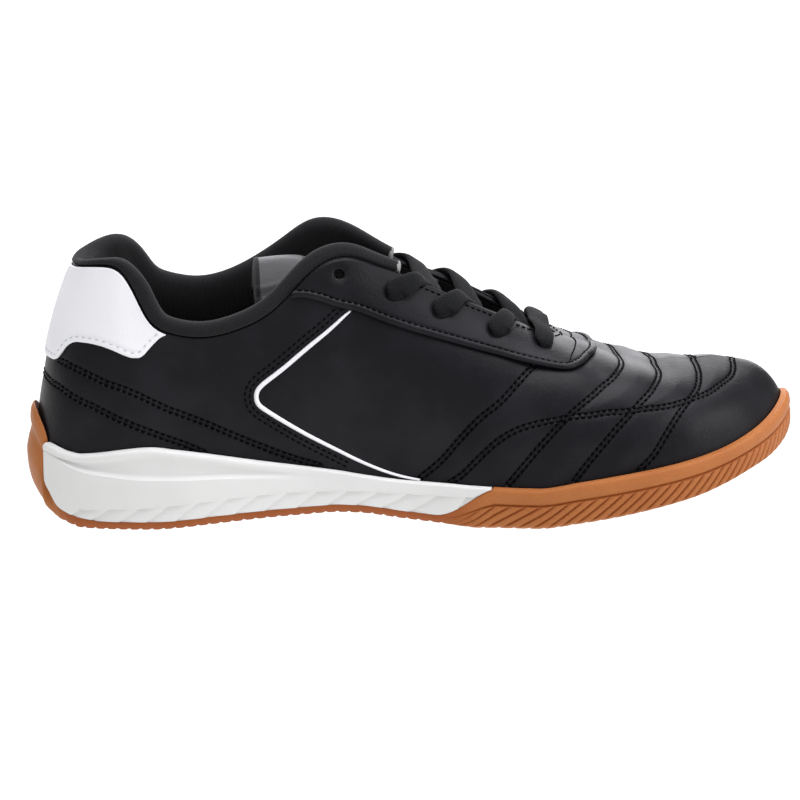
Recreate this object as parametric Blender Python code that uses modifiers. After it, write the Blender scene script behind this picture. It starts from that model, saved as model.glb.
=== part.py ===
"""Right indoor court shoe: gum outsole, foam midsole, leather upper, tongue, collar and lace.

Tables are in millimetres, with x measured from the back of the heel. The finished meshes are in
metres: +X to the toe, +Y to the medial side, +Z up, origin on the floor under the middle of the shoe.
"""
import math

import bmesh
import bpy
import numpy as np

# Driving dimensions
MM = 0.001
LENGTH = 298.0
GAP = 0.3
UPPER_WALL = 1.8
RIM = 3.2
GUM_EDGE = 3.2
INSOLE_THICKNESS = 3.5
TONGUE_THICKNESS = 4.0
OVERLAY_GAP = 0.6
OVERLAY_THICKNESS = 0.9
LACE_WIDTH = 7.5
LACE_THICKNESS = 1.5
LATERAL, MEDIAL = -1, 1

# Plan of the sole: half widths each side of the centre line
# Columns: x, lateral, medial
OUTLINE = (
    (10.0, 25.0, 25.0),
    (30.0, 34.5, 34.0),
    (60.0, 37.0, 36.0),
    (100.0, 37.0, 33.5),
    (140.0, 40.0, 33.0),
    (180.0, 47.0, 39.5),
    (205.0, 50.5, 46.0),
    (230.0, 49.5, 50.5),
    (255.0, 43.5, 48.0),
    (278.0, 29.5, 37.5),
    (292.0, 12.5, 22.0),
)
TOE_TIP_Y = 5.0

# Side view of the sole: underside, top of its side wall, and the footbed inside
# Columns: x, underside, rim, footbed
SOLE = (
    (0.0, 10.0, 31.0, 22.5),
    (6.0, 4.8, 31.2, 22.5),
    (14.0, 1.5, 29.2, 22.3),
    (19.0, 0.1, 28.6, 22.0),
    (23.0, 0.0, 29.0, 22.0),
    (47.0, 0.0, 31.8, 22.0),
    (56.0, 0.4, 30.8, 22.0),
    (70.0, 1.8, 28.8, 20.6),
    (88.0, 3.6, 26.0, 18.0),
    (103.0, 4.8, 23.9, 16.0),
    (118.0, 5.8, 21.8, 14.0),
    (126.0, 5.5, 20.4, 12.8),
    (141.0, 3.6, 18.4, 10.8),
    (156.0, 1.9, 17.4, 9.6),
    (171.0, 0.0, 16.4, 8.6),
    (192.0, 0.0, 16.0, 8.3),
    (208.0, 2.0, 18.4, 9.2),
    (224.0, 4.3, 20.7, 11.0),
    (240.0, 7.1, 23.0, 14.2),
    (256.0, 10.4, 25.8, 17.4),
    (267.0, 13.6, 28.4, 20.2),
    (277.0, 16.9, 31.6, 23.0),
    (287.0, 20.0, 35.4, 26.2),
    (294.0, 23.7, 39.0, 29.2),
    (298.0, 27.6, 41.7, 31.4),
)

# Upper edge of the leather from the heel round to the toe: the topline under the collar binding,
# then the throat edge, then the ridge of the vamp. "along" is the share of the sole's edge.
# Columns: along, x, lateral y, medial y, lateral z, medial z
TOPLINE = (
    (0.00, 19.0, 0.0, 0.0, 96.9, 96.9),
    (0.05, 22.0, -12.0, 12.0, 98.0, 97.8),
    (0.10, 30.0, -21.0, 21.0, 99.7, 98.8),
    (0.135, 36.5, -24.8, 24.8, 98.0, 98.0),
    (0.165, 41.5, -27.0, 27.0, 90.0, 92.5),
    (0.195, 47.0, -29.0, 28.5, 79.5, 85.6),
    (0.23, 55.5, -30.3, 29.8, 74.4, 81.6),
    (0.27, 67.0, -31.0, 30.5, 73.0, 79.9),
    (0.32, 82.0, -30.8, 30.3, 76.4, 83.3),
    (0.365, 95.0, -29.5, 29.0, 83.8, 90.6),
    (0.40, 104.5, -27.7, 27.3, 93.4, 97.8),
    (0.435, 114.0, -25.0, 25.0, 100.5, 104.0),
    (0.465, 123.0, -23.0, 23.0, 101.8, 103.4),
    (0.495, 132.0, -21.3, 21.3, 98.6, 99.2),
    (0.53, 143.0, -19.3, 19.3, 94.2, 93.6),
    (0.58, 160.0, -17.0, 17.5, 86.4, 87.4),
    (0.63, 176.5, -14.0, 15.5, 78.6, 79.8),
    (0.67, 190.0, -10.5, 12.5, 71.8, 72.8),
    (0.695, 198.5, -6.0, 8.0, 67.6, 68.2),
    (0.71, 203.0, 1.0, 1.0, 65.8, 65.8),
    (0.76, 215.0, 1.5, 1.5, 61.9, 61.9),
    (0.82, 229.0, 2.0, 2.0, 58.0, 58.0),
    (0.88, 242.0, 2.5, 2.5, 56.4, 56.4),
    (0.94, 252.5, 3.0, 3.0, 56.2, 56.2),
    (1.00, 259.0, 3.0, 3.0, 56.5, 56.5),
)
THROAT_CORNER = 0.53
THROAT_FRONT = 0.71

# How the leather leaves the sole and reaches its upper edge: rise in degrees, pull as share of height
# Columns: along, low rise, low pull, top rise, top pull
SWEEP = (
    (0.00, 84.0, 0.38, 66.0, 0.30),
    (0.10, 88.0, 0.36, 78.0, 0.30),
    (0.22, 94.0, 0.36, 84.0, 0.30),
    (0.32, 92.0, 0.34, 80.0, 0.30),
    (0.45, 88.0, 0.36, 64.0, 0.34),
    (0.55, 84.0, 0.38, 48.0, 0.36),
    (0.65, 86.0, 0.42, 30.0, 0.42),
    (0.71, 88.0, 0.46, 6.0, 0.50),
    (0.80, 86.0, 0.46, 2.0, 0.52),
    (0.90, 74.0, 0.42, 0.0, 0.52),
    (1.00, 62.0, 0.35, 0.0, 0.52),
)
SPINE_HEEL, SPINE_TOE = 36.0, 259.0

# Where each section across the sole meets the centre line
# Columns: along, x
SPINE = (
    (0.00, 26.0),
    (0.10, 30.0),
    (0.13, 35.0),
    (0.16, 43.0),
    (0.30, 87.0),
    (0.45, 131.0),
    (0.60, 170.0),
    (1.00, 259.0),
)
TOE_LEAN = 1.7

# Height of the gum tail on the back of the heel, above the rim of the foam
# Columns: along, top
TAIL = (
    (0.000, 43.0),
    (0.020, 42.0),
    (0.040, 38.5),
    (0.0575, 31.5),
    (0.0600, 17.5),
    (0.0715, 12.2),
    (0.083, 7.6),
    (0.0935, 5.9),
    (0.106, 4.5),
    (0.130, 3.4),
)
TAIL_FOOT = 0.0600
TAIL_END, TAIL_STEP, TAIL_CLEAR = 0.0608, 0.0613, 0.0620
FOAM_FRONT_LOW, FOAM_FRONT_HIGH = 153.5, 178.0

# Tongue sections from its sewn front end to its free top end
# Columns: x, crown, half width, drop
TONGUE = (
    (206.0, 62.0, 12.0, 4.0),
    (195.0, 65.0, 15.0, 6.0),
    (180.0, 71.5, 19.0, 9.0),
    (160.0, 80.5, 21.0, 11.0),
    (145.0, 87.0, 20.0, 11.0),
    (130.0, 93.0, 17.5, 10.0),
    (115.0, 97.0, 17.0, 10.0),
    (100.0, 98.3, 19.0, 13.0),
    (89.0, 97.3, 20.5, 15.0),
)

# Lower edge of the eyestay overlay, as a share of the column's height
# Columns: along, low
EYESTAY = (
    (0.400, 0.96),
    (0.423, 0.865),
    (0.443, 0.80),
    (0.464, 0.755),
    (0.491, 0.73),
    (0.541, 0.705),
    (0.610, 0.70),
    (0.646, 0.68),
    (0.679, 0.655),
    (0.697, 0.685),
    (0.719, 0.77),
    (0.745, 0.89),
    (0.764, 0.975),
)

# Lower edge of the heel tab
# Columns: along, low
HEEL_TAB = (
    (0.000, 0.33),
    (0.035, 0.37),
    (0.051, 0.425),
    (0.066, 0.495),
    (0.088, 0.56),
    (0.113, 0.55),
    (0.140, 0.535),
    (0.173, 0.585),
    (0.197, 0.765),
    (0.214, 0.92),
)

# White edging of the side panel
# Columns: along, height, width
PIPING = (
    (0.454, 0.750, 1.0),
    (0.420, 0.680, 2.0),
    (0.375, 0.635, 2.2),
    (0.338, 0.566, 2.2),
    (0.324, 0.500, 2.2),
    (0.322, 0.430, 2.1),
    (0.332, 0.355, 2.0),
    (0.365, 0.205, 1.7),
    (0.407, 0.085, 1.5),
    (0.450, 0.025, 1.1),
    (0.480, 0.016, 0.9),
)


def flowing(knots, values):
    """Natural cubic spline through the rows of a table."""
    knots = np.asarray(knots, float)
    values = np.asarray(values, float).reshape(len(knots), -1)
    step = np.diff(knots)
    system = np.eye(len(knots))
    bend = np.zeros_like(values)
    for i in range(1, len(knots) - 1):
        system[i, i - 1:i + 2] = step[i - 1], 2 * (step[i - 1] + step[i]), step[i]
        bend[i] = 6 * ((values[i + 1] - values[i]) / step[i] - (values[i] - values[i - 1]) / step[i - 1])
    bend = np.linalg.solve(system, bend)

    def at(t):
        i = int(np.clip(np.searchsorted(knots, t) - 1, 0, len(step) - 1))
        a, b, h = knots[i + 1] - t, t - knots[i], step[i]
        curved = (bend[i] * a ** 3 + bend[i + 1] * b ** 3) / (6 * h)
        return curved + (values[i] / h - bend[i] * h / 6) * a + (values[i + 1] / h - bend[i + 1] * h / 6) * b

    return at


def level(knots, values):
    """Cubic through the rows that keeps flat stretches flat and never overshoots."""
    knots = np.asarray(knots, float)
    values = np.asarray(values, float).reshape(len(knots), -1)
    step = np.diff(knots)
    rise = np.diff(values, axis=0) / step[:, None]
    slope = np.zeros_like(values)
    slope[0], slope[-1] = rise[0], rise[-1]
    same_way = rise[:-1] * rise[1:] > 0
    slope[1:-1][same_way] = 2 * (rise[:-1] * rise[1:])[same_way] / (rise[:-1] + rise[1:])[same_way]

    def at(t):
        t = min(max(t, knots[0]), knots[-1])
        i = int(np.clip(np.searchsorted(knots, t) - 1, 0, len(step) - 1))
        u, h = (t - knots[i]) / step[i], step[i]
        near = values[i] * (1 + 2 * u) * (1 - u) ** 2 + slope[i] * h * u * (1 - u) ** 2
        far = values[i + 1] * u * u * (3 - 2 * u) + slope[i + 1] * h * u * u * (u - 1)
        return near + far

    return at


def table(rows, kind):
    rows = np.asarray(rows, float)
    return kind(rows[:, 0], rows[:, 1:])


def smoothstep(low, high, value):
    t = min(max((value - low) / (high - low), 0.0), 1.0)
    return t * t * (3 - 2 * t)


def unit(vector):
    return vector / np.linalg.norm(vector)


def closed_outline():
    """The sole's plan as one closed spline, with the length of each side along it."""
    side = [(x, -lateral) for x, lateral, _ in OUTLINE]
    back = [(x, medial) for x, _, medial in reversed(OUTLINE)]
    loop = np.array([(0.0, 0.0)] + side + [(LENGTH, TOE_TIP_Y)] + back)
    overlap = 4
    points = np.vstack([loop[-overlap:], loop, loop[:overlap + 1]])
    run = np.concatenate([[0.0], np.cumsum(np.linalg.norm(np.diff(points, axis=0), axis=1))])
    start, toe, end = run[overlap], run[overlap + len(side) + 1], run[overlap + len(loop)]
    return flowing(run, points), start, toe, end


outline, OUTLINE_START, OUTLINE_TOE, OUTLINE_END = closed_outline()
sole_at = table(SOLE, level)
topline_at = table(TOPLINE, flowing)
sweep_at = table(SWEEP, flowing)
tail_at = table(TAIL, level)
spine_at = table(SPINE, level)


def edge(side, along):
    """Point on the sole's outline and the outward direction there, both in plan."""
    far_end = OUTLINE_START if side == LATERAL else OUTLINE_END
    run = far_end + along * (OUTLINE_TOE - far_end)
    step = 0.5
    heading = unit(outline(run + step) - outline(run - step))
    return outline(run), np.array([heading[1], -heading[0]])


def sole_heights(x):
    return sole_at(min(max(x, 0.0), LENGTH))


def ledge(side, along, out, height):
    """Point at a distance outside the sole's outline and at a height."""
    plan, outward = edge(side, along)
    x, y = plan + outward * out
    return np.array([x, y, height])


def rim_inside(along):
    """How far the inner edge of the rim lies inside the outline: further at the leaning toe bumper."""
    return RIM + TOE_LEAN * smoothstep(0.86, 1.0, along)


def spine(along, height_column, lift):
    """Point on the centre line of the sole, on one of the heights of the side view."""
    x = spine_at(along)[0]
    centre = sum(edge(side, along)[0][1] for side in (LATERAL, MEDIAL)) / 2
    return np.array([x, centre, sole_heights(x)[height_column] + lift])


def feather(side, along):
    """Where the leather comes out of the sole: just inside the rim, higher behind the gum tail."""
    plan = edge(side, along)[0]
    height = sole_heights(plan[0])[1]
    if along < TAIL_END:
        height = max(height, tail_at(along)[0])
    return ledge(side, along, -rim_inside(along) - GAP - 0.1, height)


def leather(side, along, up):
    """The outer face of the upper: up runs from 0 at the sole to 1 at the upper edge."""
    x, lateral_y, medial_y, lateral_z, medial_z = topline_at(along)
    top = np.array([x, lateral_y, lateral_z]) if side == LATERAL else np.array([x, medial_y, medial_z])
    if along >= THROAT_FRONT:
        top = np.array([x, (lateral_y + medial_y) / 2, (lateral_z + medial_z) / 2])
    low = feather(side, along)
    axis = np.array([SPINE_HEEL + (SPINE_TOE - SPINE_HEEL) * along, 2.0 * along])
    inward = np.append(unit(axis - low[:2]), 0.0)
    low_rise, low_pull, top_rise, top_pull = sweep_at(along)
    reach = np.linalg.norm(top - low)
    upward = np.array([0.0, 0.0, 1.0])
    leave = inward * math.cos(math.radians(low_rise)) + upward * math.sin(math.radians(low_rise))
    arrive = inward * math.cos(math.radians(top_rise)) + upward * math.sin(math.radians(top_rise))
    first = low + leave * low_pull * reach
    second = top - arrive * top_pull * reach
    down = 1 - up
    return low * down ** 3 + 3 * first * down * down * up + 3 * second * down * up * up + top * up ** 3


def leather_frame(side, along, up):
    """Point on the leather, its outward normal, and the way up the wall."""
    step = 0.004
    here = leather(side, along, up)
    low, high = max(up - step, 0.0), min(up + step, 1.0)
    back, front = max(along - step, 0.0), min(along + step, 1.0)
    rise = leather(side, along, high) - leather(side, along, low)
    run = leather(side, front, up) - leather(side, back, up)
    return here, unit(np.cross(run, rise)) * -side, unit(rise)


# Blender helpers
def clear_scene():
    for item in list(bpy.data.objects):
        bpy.data.objects.remove(item, do_unlink=True)


def new_collection(name):
    collection = bpy.data.collections.new(name)
    bpy.context.scene.collection.children.link(collection)
    return collection


def finish(name, colour, roughness):
    material = bpy.data.materials.new(name)
    material.use_nodes = True
    shader = material.node_tree.nodes["Principled BSDF"]
    shader.inputs["Base Color"].default_value = (*colour, 1.0)
    shader.inputs["Roughness"].default_value = roughness
    shader.inputs["Metallic"].default_value = 0.0
    return material


def place(point):
    return (point[0] - LENGTH / 2) * MM, point[1] * MM, point[2] * MM


def mesh_object(name, vertices, faces, material, collection):
    """A mesh with shared points merged and its faces turned outwards."""
    mesh = bpy.data.meshes.new(name)
    mesh.from_pydata([place(v) for v in vertices], [], faces)
    work = bmesh.new()
    work.from_mesh(mesh)
    bmesh.ops.remove_doubles(work, verts=work.verts, dist=0.00001)
    bmesh.ops.recalc_face_normals(work, faces=work.faces)
    work.to_mesh(mesh)
    work.free()
    mesh.materials.append(material)
    mesh.shade_smooth()
    mesh.set_sharp_from_angle(angle=math.radians(35))
    item = bpy.data.objects.new(name, mesh)
    collection.objects.link(item)
    return item


def grid_faces(columns, first=0):
    """Quads between neighbouring columns of points, all of one length."""
    rows = len(columns[0])
    faces = []
    for c in range(len(columns) - 1):
        for r in range(rows - 1):
            a = first + c * rows + r
            faces.append((a, a + rows, a + rows + 1, a + 1))
    return faces


def two_sided(column, places):
    """Columns on both sides of the shoe, as one list of points and one of quads."""
    vertices, faces = [], []
    for side in (LATERAL, MEDIAL):
        columns = [column(side, along) for along in places]
        faces += grid_faces(columns, len(vertices))
        vertices += [point for one in columns for point in one]
    return vertices, faces


def solidify(item, thickness, offset):
    wall = item.modifiers.new("wall", "SOLIDIFY")
    wall.thickness = thickness * MM
    wall.offset = offset
    wall.use_even_offset = False
    wall.use_rim = True


def span(start, end, count):
    return list(np.linspace(start, end, count))


clear_scene()
shoe = new_collection("court_shoe")
helpers = new_collection("helpers")

# Outsole: gum rubber, cupped up round the forefoot and the back of the heel
GUM_COLOUR = (0.46, 0.17, 0.06)
RIB_START, RIB_END, RIB_COUNT = 0.535, 0.985, 25
RIB_DEPTH = 0.9
RIB_LEAN = 0.028
FOAM_END = 0.568
FOAM_LEFT_AT_END = 0.25
# Columns: share, out, ribbed
WALL = (
    (0.00, -4.2, 0.0),
    (0.15, -0.6, 1.0),
    (0.58, -0.2, 1.0),
    (0.64, -1.0, 0.0),
    (0.70, 0.0, 0.0),
    (1.00, -0.6, 0.0),
)
UNDERSIDE_SHARE = 0.8
THIN_WALL_FOOT, THIN_WALL_TOP = -2.2, -0.4


def forefoot(x):
    return smoothstep(FOAM_FRONT_LOW, FOAM_FRONT_HIGH, x)


def gum_top(side, along):
    """Height of the gum on the side: tail, thin edge under the foam, then the forefoot wall."""
    x = edge(side, along)[0][0]
    underside, rim, _ = sole_heights(x)
    thin = underside + GUM_EDGE
    if along <= TAIL[-1][0]:
        return max(tail_at(along)[0], thin)
    if along > FOAM_END:
        return rim
    return thin + (rim - thin) * forefoot(x)


def gum_floor(along, x):
    """Height of the gum inside: a sheet under the foam, the footbed in the forefoot."""
    underside, _, footbed = sole_heights(x)
    if along > FOAM_END:
        return footbed
    filled = (1 - FOAM_LEFT_AT_END) * smoothstep(0.5, FOAM_END, along)
    return underside + GUM_EDGE + (footbed - underside - GUM_EDGE) * filled


def rib(along):
    """Saw shape of the side ribs, 0 in the hollows and 1 on the crests."""
    if not RIB_START < along < RIB_END:
        return 0.0
    turn = (along - RIB_START) / (RIB_END - RIB_START) * RIB_COUNT
    return 1 - abs(2 * (turn % 1.0) - 1)


def gum_column(side, along):
    middle = spine(along, 0, 0.0)
    lean = RIB_LEAN * smoothstep(0.5, RIB_START, along) * (1 - smoothstep(0.93, 1.0, along))
    wall = []
    for share, out, ribbed in WALL:
        at = along - lean * (1 - share)
        x = edge(side, at)[0][0]
        underside = sole_heights(x)[0]
        front = forefoot(x)
        relief = out - ribbed * RIB_DEPTH * (1 - rib(along)) if front > 0 else out
        relief -= (rim_inside(along) - RIM) * share
        thin_wall = THIN_WALL_FOOT + (THIN_WALL_TOP - THIN_WALL_FOOT) * share
        height = underside + share * (gum_top(side, at) - underside)
        wall.append(ledge(side, at, thin_wall + (relief - thin_wall) * front, height))
    x, y = middle[:2] + (wall[0][:2] - middle[:2]) * UNDERSIDE_SHARE
    below = np.array([x, y, sole_heights(x)[0]])
    inner = ledge(side, along, -rim_inside(along), 0.0)
    floor_edge = ledge(side, along, -rim_inside(along) - 0.1, 0.0)
    inner[2] = gum_top(side, along)
    floor_edge[2] = min(gum_floor(along, floor_edge[0]), inner[2])
    top_middle = spine(along, 0, 0.0)
    top_middle[2] = gum_floor(along, top_middle[0])
    return [middle, below] + wall + [inner, floor_edge, top_middle]


rib_places = span(RIB_START, RIB_END, 2 * RIB_COUNT + 1)
tail_places = [0.0, 0.012, 0.024, 0.036, 0.048, 0.0574, 0.0601, TAIL_CLEAR, 0.066, 0.074, 0.085, 0.105, 0.13]
TAIL_COLUMNS_BACK = 5
waist_places = span(0.16, 0.5, 8) + [0.518]
foam_end_places = [FOAM_END, FOAM_END + 0.0012]
rib_places = [p for p in rib_places if all(abs(p - q) > 0.0025 for q in foam_end_places)]
gum_places = sorted(tail_places + waist_places + rib_places + foam_end_places + [1.0])
gum = finish("gum_rubber", GUM_COLOUR, 0.55)
mesh_object("outsole", *two_sided(gum_column, gum_places), gum, shoe)

# Midsole: white foam wedge between the gum sheet and the upper
FOAM_COLOUR = (0.76, 0.76, 0.75)
GROOVE_START, GROOVE_END, GROOVE_COUNT = 0.14, 0.49, 12
GROOVE_STEP = (GROOVE_END - GROOVE_START) / GROOVE_COUNT
GROOVE_DEPTH = 1.1
GROOVE_FOOT, GROOVE_RISE = 0.14, 0.36
GLUE_GAP = 0.7
# Columns: share, out, grooved
FOAM_SIDE = (
    (0.00, -0.3, 0.0),
    (0.14, -0.1, 1.0),
    (0.32, -0.1, 1.0),
    (0.50, -0.2, 1.0),
    (0.56, -0.3, 0.0),
    (0.64, 0.4, 0.0),
    (0.77, -1.2, 0.0),
    (0.86, -0.2, 0.0),
    (1.00, -0.8, 0.0),
)


def groove(along, share):
    """1 in the middle of a slanted groove of the foam's side, 0 between grooves."""
    slanted = along - GROOVE_STEP * (share - GROOVE_FOOT) / GROOVE_RISE
    if not GROOVE_START < slanted < GROOVE_END:
        return 0.0
    turn = (slanted - GROOVE_START) / GROOVE_STEP
    return max(0.0, 1 - 3 * abs((turn % 1.0) - 0.5))


def foam_column(side, along):
    behind_tail, low_rim = along <= TAIL_END, along < TAIL_CLEAR
    inset = -RIM - 0.6
    x = edge(side, along)[0][0]
    _, rim, footbed = sole_heights(x)
    low = gum_floor(along, x) + GLUE_GAP
    start = gum_top(side, TAIL_FOOT if low_rim else along) + GAP
    top = footbed if low_rim else rim
    bottom = spine(along, 0, 0.0)
    bottom[2] = gum_floor(along, bottom[0]) + GLUE_GAP
    column = [bottom, ledge(side, along, inset - 0.3, low), ledge(side, along, inset, start)]
    for share, out, grooved in FOAM_SIDE:
        depth = inset - 0.2 if behind_tail else out - grooved * GROOVE_DEPTH * groove(along, share)
        column.append(ledge(side, along, depth, start + 0.2 + share * (top - start - 0.2)))
    cup = -1.2 if behind_tail else 0.0
    column.append(ledge(side, along, cup - RIM, top))
    column.append(ledge(side, along, 1.5 * cup - RIM - 0.1, footbed))
    column.append(spine(along, 2, 0.0))
    return column


def end_cap(vertices):
    """Faces that close the front end: under the footbed, under the rim, and the wall itself."""
    rows, count = len(FOAM_SIDE) + 6, len(vertices) // 2
    faces = []
    for end in (count, 2 * count):
        p = list(range(end - rows, end))
        faces += [(p[0], p[1], p[-2], p[-1]), (p[1], p[2], p[-3], p[-2]), tuple(p[2:-2])]
    return faces


foam_places = tail_places[:TAIL_COLUMNS_BACK] + [TAIL_END, TAIL_STEP] + tail_places[TAIL_COLUMNS_BACK + 2:]
for number in range(GROOVE_COUNT):
    middle = GROOVE_START + (number + 0.5) * GROOVE_STEP
    foam_places += [middle - GROOVE_STEP / 3, middle, middle + GROOVE_STEP / 3]
foam_places += [p for p in gum_places if GROOVE_END < p < FOAM_END] + [FOAM_END - 0.001]
foam = finish("white_foam", FOAM_COLOUR, 0.6)
foam_vertices, foam_faces = two_sided(foam_column, foam_places)
foam_faces += end_cap(foam_vertices)
mesh_object("midsole", foam_vertices, foam_faces, foam, shoe)

# Insole: a flat footbed inside the upper
INSOLE_INSET = UPPER_WALL + 3 * GAP
INSOLE_LIFT = 0.8


def insole_column(side, along):
    low = ledge(side, along, -INSOLE_INSET - rim_inside(along), 0.0)
    low[2] = sole_heights(low[0])[2] + INSOLE_LIFT
    lift = np.array([0.0, 0.0, INSOLE_THICKNESS])
    bottom = spine(along, 2, INSOLE_LIFT)
    halfway = (low + bottom) / 2
    halfway[2] = sole_heights(halfway[0])[2] + INSOLE_LIFT
    return [bottom, halfway, low, low + lift, halfway + lift, bottom + lift]


insole_cloth = finish("insole_cloth", (0.02, 0.02, 0.022), 0.9)
mesh_object("insole", *two_sided(insole_column, span(0.0, 1.0, 19)), insole_cloth, shoe)

# Upper: one hollow leather shell, open at the collar, along the throat and underneath
UPPER_ROWS = (0.0, 0.12, 0.27, 0.43, 0.59, 0.74, 0.88, 1.0)
HEEL_PLACES = span(0.0, 0.12, 6) + span(0.145, 0.23, 4)
SIDE_PLACES = span(0.265, THROAT_CORNER, 9) + [0.555, FOAM_END, 0.605, 0.64, 0.67, 0.695]
VAMP_PLACES = [THROAT_FRONT, 0.727, 0.745, EYESTAY[-1][0]] + span(0.79, 0.95, 6) + [0.97, 0.985, 1.0]


def upper_column(side, along):
    """The leather from its lasting edge in the sole up to the collar, throat or ridge."""
    tuck = ledge(side, along, -rim_inside(along) - GAP - 0.1, 0.0)
    tuck[2] = sole_heights(tuck[0])[2] + GAP + 0.1
    return [tuck] + [leather(side, along, up) for up in UPPER_ROWS]


hide = finish("black_leather", (0.012, 0.012, 0.014), 0.45)
upper = mesh_object("upper", *two_sided(upper_column, HEEL_PLACES + SIDE_PLACES + VAMP_PLACES), hide, shoe)
solidify(upper, UPPER_WALL, -1.0)

# Tongue: a padded leather flap under the throat, its free end lying back in the collar
TONGUE_SHARES = span(-1.0, 1.0, 7)
tongue_at = flowing([-row[0] for row in TONGUE], [row[1:] for row in TONGUE])
tongue_columns = []
for x in span(TONGUE[0][0], TONGUE[-1][0], 13):
    crown, half_width, drop = tongue_at(-x)
    tongue_columns.append([np.array([x, 1.0 + half_width * q, crown - drop * q * q]) for q in TONGUE_SHARES])
tongue_leather = finish("tongue_leather", (0.014, 0.014, 0.016), 0.5)
tongue_points = [point for column in tongue_columns for point in column]
tongue = mesh_object("tongue", tongue_points, grid_faces(tongue_columns), tongue_leather, shoe)
solidify(tongue, TONGUE_THICKNESS, -1.0)

# Collar: a knit padded roll along the topline, its lining running down inside the leather
# Columns: out, up
COLLAR = (
    (-2.5, -18.0),
    (-2.5, -0.5),
    (-2.4, 0.5),
    (0.1, 0.5),
    (0.8, 1.6),
    (0.8, 3.6),
    (-0.2, 5.3),
    (-2.2, 6.2),
    (-4.4, 5.6),
    (-6.0, 3.2),
    (-6.6, -3.0),
    (-6.0, -11.0),
    (-3.6, -18.0),
)
LINING = -2.5
COLLAR_THIN_FROM = 0.40
COLLAR_THIN_DEPTH, COLLAR_THIN_PAD = 0.35, 0.55


def shared_frame(side, along, up):
    """The frame on the leather, with one normal for both sides where they meet."""
    here, normal, rise = leather_frame(side, along, up)
    if along in (0.0, 1.0) or (up == 1.0 and along >= THROAT_FRONT):
        normal = unit(normal + leather_frame(-side, along, up)[1])
    return here, normal, rise


def collar_section(side, along):
    """The roll's outline across the topline, thinner towards the throat."""
    here, normal, _ = shared_frame(side, along, 1.0)
    step = 0.004
    if along == 0.0:
        run = leather(MEDIAL, step, 1.0) - leather(LATERAL, step, 1.0)
    else:
        run = (leather(side, along + step, 1.0) - leather(side, along - step, 1.0)) * side
    across = unit(np.cross(run, normal))
    across = across if across[2] > 0 else -across
    thin = smoothstep(COLLAR_THIN_FROM, THROAT_CORNER, along)
    height = np.linalg.norm(here - feather(side, along))
    section = []
    for out, up in COLLAR:
        if out < LINING:
            out = LINING + (out - LINING) * (1 - (1 - COLLAR_THIN_PAD) * thin)
        if up > 0:
            section.append(here + normal * out + across * up)
        else:
            share = 1.0 + up / height * (1 - (1 - COLLAR_THIN_DEPTH) * thin)
            inside, inside_normal, _ = shared_frame(side, along, share)
            section.append(inside + inside_normal * out)
    return section


def ring_faces(rings):
    """Quads round neighbouring closed sections, with the two ends filled."""
    count = len(rings[0])
    faces = [tuple(range(count)), tuple(range((len(rings) - 1) * count, len(rings) * count))]
    for ring in range(len(rings) - 1):
        for i in range(count):
            a, b = ring * count + i, ring * count + (i + 1) % count
            faces.append((a, b, b + count, a + count))
    return faces


collar_places = [THROAT_CORNER - 0.004]
collar_places += [along for along in reversed(HEEL_PLACES + SIDE_PLACES) if 0.0 < along < THROAT_CORNER]
collar_rings = [collar_section(LATERAL, along) for along in collar_places]
collar_rings += [collar_section(LATERAL, 0.0)]
collar_rings += [collar_section(MEDIAL, along) for along in reversed(collar_places)]
knit = finish("black_knit", (0.01, 0.01, 0.011), 0.9)
collar_points = [point for ring in collar_rings for point in ring]
mesh_object("collar", collar_points, ring_faces(collar_rings), knit, shoe)


# Overlays: thin pieces laid over the leather, cut from its own shape
OVERLAY_ROWS = 4


def overlay_column(side, along, low, high):
    column = []
    for up in span(low, high, OVERLAY_ROWS):
        here, normal, _ = shared_frame(side, along, up)
        column.append(here + normal * OVERLAY_GAP)
    return column


EDGE_OF_LEATHER = 0.985
eyestay_low = table(EYESTAY, level)


def eyestay_column(side, along):
    high = 1.0 if along >= THROAT_FRONT else EDGE_OF_LEATHER
    return overlay_column(side, along, eyestay_low(along)[0], high)


eyestay_places = [EYESTAY[0][0]]
eyestay_places += [along for along in SIDE_PLACES + VAMP_PLACES if EYESTAY[0][0] < along <= EYESTAY[-1][0]]
eyestay = mesh_object("eyestay", *two_sided(eyestay_column, eyestay_places), hide, shoe)
solidify(eyestay, OVERLAY_THICKNESS, 1.0)

heel_tab_low = table(HEEL_TAB, level)


def heel_tab_column(side, along):
    return overlay_column(side, along, heel_tab_low(along)[0], EDGE_OF_LEATHER)


tab_places = sorted([row[0] for row in HEEL_TAB] + [0.018, 0.156])
white = finish("white_leather", (0.86, 0.87, 0.9), 0.5)
heel_tab = mesh_object("heel_tab", *two_sided(heel_tab_column, tab_places), white, shoe)
solidify(heel_tab, OVERLAY_THICKNESS, 1.0)

piping_at = flowing(range(len(PIPING)), PIPING)
PIPING_STEPS = 21
for side, name in ((LATERAL, "piping_lateral"), (MEDIAL, "piping_medial")):
    columns = []
    for turn in span(0.0, len(PIPING) - 1.0, PIPING_STEPS):
        along, height, width = piping_at(turn)
        here, normal, _ = leather_frame(side, along, height)
        ahead = leather(side, *piping_at(turn + 0.05)[:2])
        across = unit(np.cross(normal, ahead - here))
        columns.append([here + normal * OVERLAY_GAP + across * width * share for share in (-0.5, 0.5)])
    points = [point for column in columns for point in column]
    piping = mesh_object(name, points, grid_faces(columns), white, shoe)
    solidify(piping, OVERLAY_THICKNESS, 1.0)

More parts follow.
